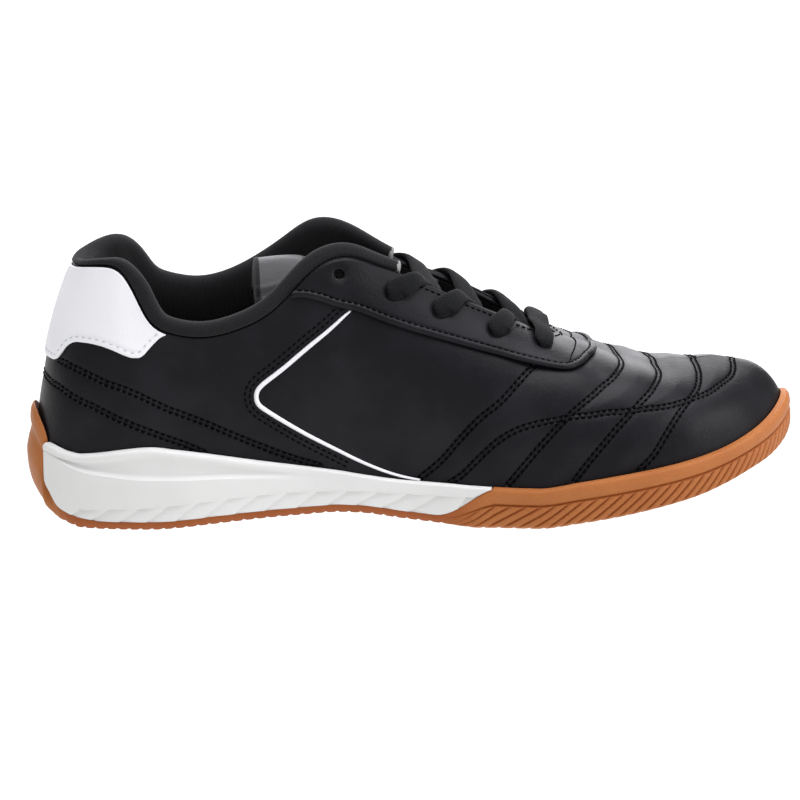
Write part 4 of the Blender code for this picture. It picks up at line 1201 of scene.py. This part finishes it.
def tongue_rings(places, grow=0.0):
    """Closed pillow sections across the tongue."""
    crown, half_width, drop = np.moveaxis(tongue_at(-places), -1, 0)
    rings = []
    for turn in np.linspace(0.0, 2 * math.pi, TONGUE_ROUND, endpoint=False):
        across = swollen(math.cos(turn), TONGUE_FLATTEN)
        thick = swollen(math.sin(turn), TONGUE_FILL) * (TONGUE_THICKNESS / 2 + grow)
        seam = 1 - TONGUE_SEAM_PRESS * hump(places - TONGUE[-1][0] - TONGUE_CROSS_SEAM, TONGUE_SEAM_WIDTH)
        if thick > 0:
            thick += TONGUE_RIDGE * hump(abs(across) - TONGUE_SEAM, TONGUE_RIDGE_WIDTH)
            thick -= TONGUE_RIDGE * hump(abs(across) - TONGUE_SEAM - TONGUE_GROOVE, TONGUE_GROOVE_WIDTH)
        height = crown - drop * across * across - TONGUE_THICKNESS / 2 + thick * seam
        rings.append(stack(places, 1.0 + (half_width + grow) * across, height))
    return np.stack(rings, axis=1)


tongue_places = np.linspace(TONGUE[0][0], TONGUE[-1][0] + 0.6, 120)
# The same leather finish, painted lighter for the light on the tongue.
tongue_material = hide_finish("tongue_leather_painted_light", TONGUE_PAINTED_LIGHT, TONGUE_PAINTED_LIGHT_WORN)
tongue_seam = np.abs(tongue_places - TONGUE[-1][0] - TONGUE_CROSS_SEAM)
tongue = rolled("tongue_pad", tongue_rings(tongue_places), tongue_material, {"seam": tongue_seam})
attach(tongue, "root")
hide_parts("tongue")
binding_places = np.linspace(TONGUE[-1][0] + BINDING_LENGTH, TONGUE[-1][0] - BINDING_REACH, 26)
binding_skin = tongue_rings(binding_places, BINDING_GROW)
binding_turn = np.tile(np.linspace(0.0, BINDING_TURN, TONGUE_ROUND), (len(binding_places), 1))
binding = rolled("tongue_binding", binding_skin, knit_material,
                 {"run": binding_turn, "cut": np.full_like(binding_turn, NO_CUT)})
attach(binding, "root")

# Eyestay: a leather overlay round the throat that carries the punched lace holes.
# Its lower edge is folded over a cord, so a soft roll stands between the edge and the stitch row.
OVERLAY_GAP, OVERLAY_THICKNESS, OVERLAY_SEAM = 0.25, 1.0, 9.0
ROLL_HEIGHT, ROLL_WIDTH, ROLL_PLACE = 0.75, 0.75, 0.95
EDGE_PRESS, SEAM_PRESS, SEAM_PLACE, PRESS_WIDTH = 0.3, 0.25, 2.2, 0.6
HOLE_PRESS, HOLE_PRESS_WIDTH = 0.45, 1.3
# Columns: share of the edge, lower edge as a share of the height
EYESTAY = (
    (0.386, 0.970),
    (0.400, 0.920),
    (0.423, 0.840),
    (0.443, 0.782),
    (0.464, 0.755),
    (0.491, 0.73),
    (0.541, 0.705),
    (0.610, 0.70),
    (0.646, 0.68),
    (0.679, 0.655),
    (0.697, 0.685),
    (0.719, 0.765),
    (0.742, 0.860),
    (0.757, 0.922),
    (0.768, 0.965),
    (0.774, 0.990),
)


def eyestay_low(side, along):
    """The lower edge of the eyestay, alike on both sides."""
    return level(EYESTAY)(along)[..., 0]


def overlay(low, rows, high=EDGE_OF_LEATHER, joined=False):
    """Sections of a thin piece laid over the leather, from its lower edge up."""
    def column(side, along):
        bottom = low(side, along)
        top = np.where(joined & (along >= THROAT_FRONT), 1.0, high)
        up = bottom[:, None] + (top - bottom)[:, None] * np.linspace(0.0, 1.0, rows)[None, :]
        here, normal, _ = shared_normals(side, along[:, None], up)
        crest = ((up == 1.0) & (along[:, None] >= THROAT_FRONT))[..., None]
        other = leather_frame(-side, along[:, None], up)[1]
        return here + np.where(crest, unit(normal + other), normal) * OVERLAY_GAP
    return column


eyestay_along = spans((EYESTAY[0][0], 0.75, 146), (0.7515, EYESTAY[-1][0], 24))
eyestay_points, eyestay_faces = both_sides(overlay(eyestay_low, 34, joined=True), eyestay_along)
eyestay_rim = np.vstack([leather(side, eyestay_along, eyestay_low(side, eyestay_along)) for side in SIDES])
away = distance_to(eyestay_points, eyestay_rim)
eyestay_relief = ROLL_HEIGHT * hump(away - ROLL_PLACE, ROLL_WIDTH) - EDGE_PRESS * hump(away, PRESS_WIDTH)
eyestay_relief -= SEAM_PRESS * hump(away - SEAM_PLACE, PRESS_WIDTH)
for place in eyelet_places:
    away = np.linalg.norm(eyestay_points - place, axis=1)
    eyestay_relief -= HOLE_PRESS * hump(away - HOLE_RADIUS, HOLE_PRESS_WIDTH)
eyestay_points, eyestay_faces = cut_holes(eyestay_points, eyestay_faces, eyelet_places, HOLE_RADIUS)
eyestay = piece("eyestay_leather", eyestay_points, eyestay_faces, hide_material,
                {"seam": np.full(len(eyestay_points), OVERLAY_SEAM)}, eyestay_relief, 60.0)
wall(eyestay, OVERLAY_THICKNESS, 1.0)
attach(eyestay, "root")
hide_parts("eyestay")

# Heel tab: white coated leather wrapped round the top of the heel and sewn on along its lower edge.
# Its surface is plain, with a fine grain and a soft press beside the stitches.
WHITE_CLEAN, WHITE_WORN = (0.86, 0.86, 0.89, 1.0), (0.78, 0.78, 0.81, 1.0)
TAB_PRESS, TAB_SEAM_PLACE, TAB_SEAM_WIDTH = 0.3, 1.9, 0.7
# Columns: share of the edge, height of the lower edge
HEEL_TAB = (
    (0.000, 62.6),
    (0.030, 62.3),
    (0.046, 62.3),
    (0.054, 63.2),
    (0.060, 65.2),
    (0.067, 68.0),
    (0.076, 69.9),
    (0.087, 70.7),
    (0.100, 70.7),
    (0.119, 70.2),
    (0.139, 68.8),
    (0.161, 66.6),
    (0.172, 65.9),
    (0.179, 65.9),
    (0.185, 66.6),
    (0.192, 68.3),
    (0.201, 70.5),
    (0.213, 73.3),
    (0.221, 74.3),
)


def heel_tab_low(side, along):
    """The lower edge of the tab as a share of the leather's height, found by halving."""
    wanted = level(HEEL_TAB)(along)[..., 0]
    low, high = np.zeros_like(wanted), np.full_like(wanted, EDGE_OF_LEATHER - 0.004)
    for _ in range(24):
        middle = (low + high) / 2
        under = leather(side, along, middle)[..., 2] < wanted
        low, high = np.where(under, middle, low), np.where(under, high, middle)
    return high


tab_along = np.linspace(0.0, HEEL_TAB[-1][0], 130)
tab_points, tab_faces = both_sides(overlay(heel_tab_low, 46), tab_along)
tab_relief = np.zeros(len(tab_points))
for side in SIDES:
    away = distance_to(tab_points, leather(side, tab_along, heel_tab_low(side, tab_along)))
    tab_relief -= TAB_PRESS * (hump(away, PRESS_WIDTH) + hump(away - TAB_SEAM_PLACE, TAB_SEAM_WIDTH))
white = Paint("white_leather_coated", roughness=0.42, specular_ior_level=0.45)
white_pebble = white.noise(0.0009, 3.0)
white_cloud = white.noise(0.02, 3.0)
white_scuff = white.noise(0.0035, 4.0).between(0.62, 0.75)
white_colour = white.blend(white_cloud.between(0.4, 0.8) * 0.5 + white_scuff * 0.25, WHITE_CLEAN, WHITE_WORN)
white_material = white.finish(base_color=white_colour,
                              roughness=white_cloud * 0.12 + white_pebble * 0.1 + 0.36,
                              normal=white.bump(white_pebble, 0.0001))
heel_tab = piece("heel_tab_leather", tab_points, tab_faces, white_material, None, tab_relief, 60.0)
wall(heel_tab, OVERLAY_THICKNESS, 1.0)
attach(heel_tab, "root")
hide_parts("heel_tab")

# Piping: a narrow white leather edging let in round the side panel, a half-round bead on each side.
# It tapers to both ends, and a pair of stitch rows runs beside it.
PIPING_HEIGHT, PIPING_ROOT, PIPING_LIFT, PIPING_ROUND = 0.95, 0.3, 0.05, 14
PIPING_TAPER, PIPING_END = 0.4, 0.35
# Columns: turn along the bead, share of the edge, share of the height, width
PIPING = (
    (0.0, 0.454, 0.750, 0.9),
    (1.0, 0.420, 0.680, 1.5),
    (2.0, 0.375, 0.635, 1.7),
    (3.0, 0.338, 0.566, 1.8),
    (4.0, 0.324, 0.500, 1.8),
    (5.0, 0.322, 0.430, 1.8),
    (6.0, 0.332, 0.355, 1.7),
    (7.0, 0.365, 0.205, 1.5),
    (8.0, 0.407, 0.085, 1.3),
    (9.0, 0.450, 0.025, 1.1),
    (10.0, 0.486, 0.004, 0.9),
)
piping_at = flowing(PIPING)
for side, word in ((LATERAL, "lateral"), (MEDIAL, "medial")):
    turn = np.linspace(0.0, PIPING[-1][0], 220)
    along, up, width = np.moveaxis(piping_at(turn), -1, 0)
    here, normal, _ = leather_frame(side, along, up)
    across = unit(np.cross(normal, np.gradient(here, axis=0)))
    taper = np.minimum(1.0, np.minimum(turn, PIPING[-1][0] - turn) / PIPING_TAPER + PIPING_END)
    bead = []
    for angle in np.linspace(0.0, 2 * math.pi, PIPING_ROUND, endpoint=False):
        out = (max(math.sin(angle), 0.0) * PIPING_HEIGHT + min(math.sin(angle), 0.0) * PIPING_ROOT) * taper
        reach = width * 0.5 * math.cos(angle)
        bead.append(here + across * reach[:, None] + normal * (out + PIPING_LIFT)[:, None])
    piping = rolled("piping_bead_" + word, np.stack(bead, axis=1), white_material, {})
    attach(piping, "root")
    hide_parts("piping_" + word)

# Lace: one flat woven cord, padded and oval in section, threaded from a bar over the lowest holes.
# Each strand goes into a hole from above, under the eyestay, and out across the tongue to the other side.
LACE_THICKNESS, LACE_SWELL = 2.2, 0.4
LACE_LIFT = OVERLAY_GAP + OVERLAY_THICKNESS + 1.35
LACE_ROUND = 18
LACE_STEP = 0.7
YARN_PITCH, YARN_SLANT = 0.8, 0.9
LACE_FLATTEN, LACE_FILL = 0.8, 0.9
LACE_BLACK, LACE_GREY = (0.0022, 0.0024, 0.0028, 1.0), (0.0058, 0.0062, 0.0072, 1.0)
LACE_HIDDEN, LACE_END_STEP, LACE_END_HEIGHT = -UPPER_WALL - 2.4, 0.012, 0.92
CROSSING_WIDTH, BAR_WIDTH, UNDER_WIDTH, LACE_END_WIDTH = 6.8, 7.6, 6.4, 6.5
BAR_BUMP, CROSSING_BUMPS = 1.4, {LATERAL: -2.2, MEDIAL: 1.5}
BAR_WIDTHS, STRAND_WIDTHS = (7.8, 7.8, 7.8, 7.4), (6.2, 7.4, 8.4, 8.2)
# Columns: share of the way from the throat's edge to the hole, lift of the bar, lift of a strand
OVER_EYESTAY = ((0.0, 0.5, 0.0), (0.3, 0.7, 0.7), (0.62, 0.6, 0.6), (0.9, 0.1, 0.1))
# Columns: share of the way from the hole to the far throat edge, share of the height, depth behind
BEHIND_EYESTAY = ((0.45, 0.93, 2.6), (0.9, 0.985, 2.2))
# Columns: where a strand crosses its own throat edge, and where it comes from under the other
STRAND_EDGES = ((0.686, 0.686), (0.648, 0.684), (0.592, 0.627), (0.545, 0.575))


def lifted(side, along, up, lift, slide=0.0):
    """Point over (or under) the leather, its normal, and the way up the wall there."""
    here, normal, rise = leather_frame(side, along, up)
    return here + normal * lift + rise * slide, normal, rise


def into_hole(side, pair, way):
    """Over the throat edge, along the eyestay and down the hole: point, facing, width, thickness."""
    (along, up), (edge_along, _) = EYELETS[pair], STRAND_EDGES[pair]
    widths = STRAND_WIDTHS if pair else BAR_WIDTHS
    rows = []
    for (share, bar_lift, strand_lift), width in zip(OVER_EYESTAY, widths):
        point, normal, _ = lifted(side, edge_along + (along - edge_along) * share,
                                  EDGE_OF_LEATHER + (up - EDGE_OF_LEATHER) * share,
                                  LACE_LIFT + (strand_lift if pair else bar_lift))
        rows.append((point, normal * way, width, LACE_THICKNESS + LACE_SWELL))
    point, normal, rise = lifted(side, along, up, LACE_LIFT - 0.9, -1.6)
    rows.append((point, unit(normal - rise) * way, 6.0, LACE_THICKNESS))
    point, normal, rise = lifted(side, along, up, -0.6, -0.3)
    rows.append((point, -rise * way, 3.7, 2.9))
    point, normal, rise = lifted(side, along, up, LACE_HIDDEN, 1.2)
    rows.append((point, unit(-rise - normal) * way, 4.5, LACE_THICKNESS))
    return rows


def from_under(side, pair, way):
    """From under a hole, up behind the eyestay to the throat edge."""
    along, far_along = EYELETS[pair][0], STRAND_EDGES[pair + 1][1]
    rows = []
    for share, height, drop in BEHIND_EYESTAY:
        point, normal, _ = lifted(side, along + (far_along - along) * share, height, -UPPER_WALL - drop)
        rows.append((point, normal * way, UNDER_WIDTH, LACE_THICKNESS))
    return rows


def half_lace(side):
    """The control rows of one half, from the bar to its hidden end behind the fourth hole."""
    way = 1.0
    rows = into_hole(side, 0, way)
    for pair in (0, 1, 2):
        way = -way
        under = from_under(side, pair, way)
        side = -side
        onward = into_hole(side, pair + 1, way)
        crossing = (under[-1][0] + onward[0][0]) / 2 + UPRIGHT * CROSSING_BUMPS[side]
        over = (crossing, UPRIGHT * way, CROSSING_WIDTH, LACE_THICKNESS + LACE_SWELL)
        rows += under + [over] + onward
    point, normal, _ = lifted(side, EYELETS[3][0] - LACE_END_STEP, LACE_END_HEIGHT, LACE_HIDDEN)
    rows.append((point, -normal * way, LACE_END_WIDTH, LACE_THICKNESS))
    return rows


bar_edges = [lifted(side, STRAND_EDGES[0][0], EDGE_OF_LEATHER, LACE_LIFT)[0] for side in SIDES]
bar_middle = (sum(bar_edges) / 2 + UPRIGHT * BAR_BUMP, UPRIGHT, BAR_WIDTH, LACE_THICKNESS + 0.2)
lace_rows = half_lace(LATERAL)[::-1] + [bar_middle] + half_lace(MEDIAL)
lace_points = np.array([row[0] for row in lace_rows])
lace_spacing = np.concatenate([[0.0], np.cumsum(np.linalg.norm(np.diff(lace_points, axis=0), axis=1) ** 0.8)])
lace_path = flowing(np.column_stack([lace_spacing, lace_points]))
lace_form = level(np.array([(place, *row[1], row[2], row[3]) for place, row in zip(lace_spacing, lace_rows)]))
fine = np.linspace(0.0, lace_spacing[-1], 4000)
fine_run = run_along(lace_path(fine))
lace_length = fine_run[-1]
lace_run = np.linspace(0.0, lace_length, int(lace_length / LACE_STEP))
lace_turn = np.interp(lace_run, fine_run, fine)
lace_centre, lace_shape = lace_path(lace_turn), lace_form(lace_turn)
lace_heading = unit(np.gradient(lace_centre, axis=0))
lace_across = unit(np.cross(lace_shape[:, :3], lace_heading))
lace_facing = np.cross(lace_heading, lace_across)
lace_skin, lace_place = [], []
for angle in np.linspace(0.0, 2 * math.pi, LACE_ROUND, endpoint=False):
    wide = swollen(math.cos(angle), LACE_FLATTEN) * lace_shape[:, 3:4] / 2
    thick = swollen(math.sin(angle), LACE_FILL) * lace_shape[:, 4:5] / 2
    lace_skin.append(lace_centre + lace_across * wide + lace_facing * thick)
    lace_place.append(wide[:, 0])
woven = Paint("lace_woven_flat", roughness=0.85, specular_ior_level=0.12, sheen_weight=0.06)
woven_run, woven_place = woven.attribute("run"), woven.attribute("place")
woven_left = (woven_run + woven_place * YARN_SLANT).wave(YARN_PITCH)
woven_right = (woven_run - woven_place * YARN_SLANT).wave(YARN_PITCH)
woven_rows = woven_place.wave(1.0).between(0.4, 0.6)
woven_yarn = woven_left * woven_rows + woven_right * (1 - woven_rows)
woven_fuzz = woven.noise(0.0003, 2.0)
woven_colour = woven.blend(woven_yarn * 0.6 + woven_fuzz * 0.3, LACE_BLACK, LACE_GREY)
woven_material = woven.finish(base_color=woven_colour, roughness=woven_fuzz * 0.15 + 0.75,
                              normal=woven.bump(woven_yarn * 0.8 + woven_fuzz * 0.3, 0.0002))
lace = rolled("lace_flat", np.stack(lace_skin, axis=1), woven_material,
              {"run": np.tile(lace_run[:, None], (1, LACE_ROUND)), "place": np.stack(lace_place, axis=1)})
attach(lace, "root")
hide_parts("lace_bar", "lace_cross_1", "lace_cross_2", "lace_cross_3")
print("lace length in mm:", round(lace_length))

# Stitches: lock-stitched bonded thread, black on the black leather and pale on the heel tab.
# Paired rows follow the quilting, toe cap, counter and piping, single rows the edges of the overlays.
SKIN_ABOVE, SKIN_REACH, THREAD_LIFT = 2.5, 6.0, 0.14
TAB_ROW_INSIDE, PIPING_ROWS = 1.7, (2.5, 4.3)
# First place, last place and count of the rows along the piping and the overlays' edges
PIPING_SPAN, EYESTAY_SPAN, TAB_SPAN = (0.15, 8.1, 60), (0.398, 0.764, 240), (0.0, 0.212, 150)
# Rows of each line: share of the edge, share of the height
THROAT_ROW = (
    (0.535, 0.955), (0.600, 0.953), (0.650, 0.947), (0.685, 0.941), (0.700, 0.945), (0.711, 0.960),
    (0.718, 0.980), (0.722, 1.000),
)
CROSS_ROW = ((0.686, 0.700), (0.694, 0.760), (0.708, 0.833), (0.724, 0.920), (0.738, 1.000))
# Columns: thread, pitch, length and thickness of a stitch, colour, slot
THREADS = (
    ("black", 2.4, 1.8, 0.66, (0.0016, 0.0016, 0.0018, 1.0), "black_leather"),
    ("pale", 2.9, 1.4, 0.45, (0.70, 0.71, 0.73, 1.0), "white_leather"),
)


def stitch_tree():
    """Geometry Nodes: lines of points become rows of short stitches along them."""
    tree = bpy.data.node_groups.new("stitch_rows", "GeometryNodeTree")
    sockets = {}
    for word, kind in (("Geometry", "Geometry"), ("Pitch", "Float"), ("Length", "Float"), ("Thread", "Float"),
                       ("Material", "Material")):
        socket = tree.interface.new_socket(word, in_out="INPUT", socket_type="NodeSocket" + kind)
        sockets[word] = socket.identifier
    tree.interface.new_socket("Geometry", in_out="OUTPUT", socket_type="NodeSocketGeometry")

    def node(kind, inputs, **settings):
        made = tree.nodes.new(kind)
        for word, value in settings.items():
            setattr(made, word, value)
        for key, value in inputs.items():
            if isinstance(value, bpy.types.NodeSocket):
                tree.links.new(value, made.inputs[key])
            else:
                made.inputs[key].default_value = value
        return made

    given = node("NodeGroupInput", {}).outputs
    curve = node("GeometryNodeMeshToCurve", {"Mesh": given["Geometry"]})
    spacing = {"Curve": curve.outputs[0], "Length": given["Pitch"]}
    spaced = node("GeometryNodeResampleCurve", spacing, mode="LENGTH")
    tangent = node("GeometryNodeInputTangent", {})
    turned = node("FunctionNodeAlignRotationToVector", {"Vector": tangent.outputs[0]}, axis="X")
    size = node("ShaderNodeCombineXYZ", {"X": given["Length"], "Y": given["Thread"], "Z": given["Thread"]})
    bead = node("GeometryNodeMeshUVSphere", {"Segments": 6, "Rings": 5, "Radius": 0.5})
    smooth = node("GeometryNodeSetShadeSmooth", {"Geometry": bead.outputs["Mesh"]})
    laid = {"Points": spaced.outputs[0], "Instance": smooth.outputs[0], "Rotation": turned.outputs[0],
            "Scale": size.outputs[0]}
    stitches = node("GeometryNodeInstanceOnPoints", laid)
    real = node("GeometryNodeRealizeInstances", {"Geometry": stitches.outputs[0]})
    painted = node("GeometryNodeSetMaterial", {"Geometry": real.outputs[0], "Material": given["Material"]})
    node("NodeGroupOutput", {"Geometry": painted.outputs[0]})
    return tree, sockets


stitch_group, stitch_sockets = stitch_tree()


def sewn(name, lines, material, pitch, length, thickness):
    """All the rows of one thread as one mesh."""
    mesh = bpy.data.meshes.new(name)
    points, edges = [], []
    for line in lines:
        edges += [(len(points) + i, len(points) + i + 1) for i in range(len(line) - 1)]
        points += [tuple(point) for point in line]
    mesh.from_pydata(points, edges, [])
    item = bpy.data.objects.new(name, mesh)
    bpy.context.scene.collection.objects.link(item)
    rows = item.modifiers.new("rows", "NODES")
    rows.node_group = stitch_group
    for word, value in (("Pitch", pitch * MM), ("Length", length * MM), ("Thread", thickness * MM),
                        ("Material", material)):
        rows[stitch_sockets[word]] = value
    done = bpy.data.meshes.new_from_object(item.evaluated_get(bpy.context.evaluated_depsgraph_get()))
    item.modifiers.clear()
    item.data = done
    return item


def on_skin(item):
    """Lays points on the outside of a finished piece: takes points in mm and their normals."""
    tree = BVHTree.FromObject(item, bpy.context.evaluated_depsgraph_get())

    def lay(points, normals):
        laid = []
        for point, normal in zip(points, normals):
            start = Vector((np.asarray(point) + normal * SKIN_ABOVE - (LENGTH / 2, 0.0, 0.0)) * MM)
            found = tree.ray_cast(start, Vector(-normal), SKIN_REACH * MM)
            if found[0] is None:
                found = tree.find_nearest(start)
            laid.append(found[0] + Vector(normal) * THREAD_LIFT * MM)
        return laid

    return lay


def stitch_line(lay, side, rows, shift=0.0):
    """One row of thread along a line on the leather, shifted across it by a distance in mm."""
    here, normal, _ = leather_frame(side, *line_on_leather(side, rows))
    across = unit(np.cross(normal, np.gradient(here, axis=0)))
    return lay(here + across * shift * side, normal)


def edge_row(lay, side, low, places, inside):
    """A row of thread at a distance in mm above the lower edge of an overlay."""
    up = low(side, places)
    here, normal, rise = leather_frame(side, places, up)
    across = unit(np.cross(normal, np.gradient(here, axis=0)))
    across = across * np.sign((across * rise).sum(-1, keepdims=True))
    return lay(here + across * inside, normal)


lay_upper, lay_eyestay, lay_tab = on_skin(upper), on_skin(eyestay), on_skin(heel_tab)
black_rows, pale_rows = [], []
for side in SIDES:
    for rows in QUILT_LINES + (TOE_CAP_LINE,) + COUNTER_LINES:
        black_rows += [stitch_line(lay_upper, side, rows, shift) for shift in (-PAIR_HALF, PAIR_HALF)]
    piping_rows = piping_at(np.linspace(*PIPING_SPAN))[:, :2]
    black_rows += [stitch_line(lay_upper, side, piping_rows, shift) for shift in PIPING_ROWS]
    black_rows.append(edge_row(lay_eyestay, side, eyestay_low, np.linspace(*EYESTAY_SPAN), SEAM_PLACE))
    black_rows += [stitch_line(lay_eyestay, side, rows) for rows in (THROAT_ROW, CROSS_ROW)]
    pale_rows.append(edge_row(lay_tab, side, heel_tab_low, np.linspace(*TAB_SPAN), TAB_ROW_INSIDE))
for rows, (word, pitch, length, thickness, colour, slot) in zip((black_rows, pale_rows), THREADS):
    thread = Paint("thread_" + word, base_color=colour, roughness=0.7, specular_ior_level=0.03)
    thread_twist = thread.noise(0.00025, 2.0)
    darker = tuple(0.6 * part for part in colour[:3]) + (1.0,)
    thread_colour = thread.blend(thread_twist.between(0.4, 0.6), colour, darker)
    thread_material = thread.finish(base_color=thread_colour, roughness=thread_twist * 0.2 + 0.5,
                                    normal=thread.bump(thread_twist, 0.0001))
    stitches = sewn("stitches_" + word, rows, thread_material, pitch, length, thickness)
    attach(stitches, "root")

# The solids' box and the dressed shoe's box.
boxes = {"cad": cad_box, "visual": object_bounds()}
{name: [list(corner) for corner in box] for name, box in boxes.items()}
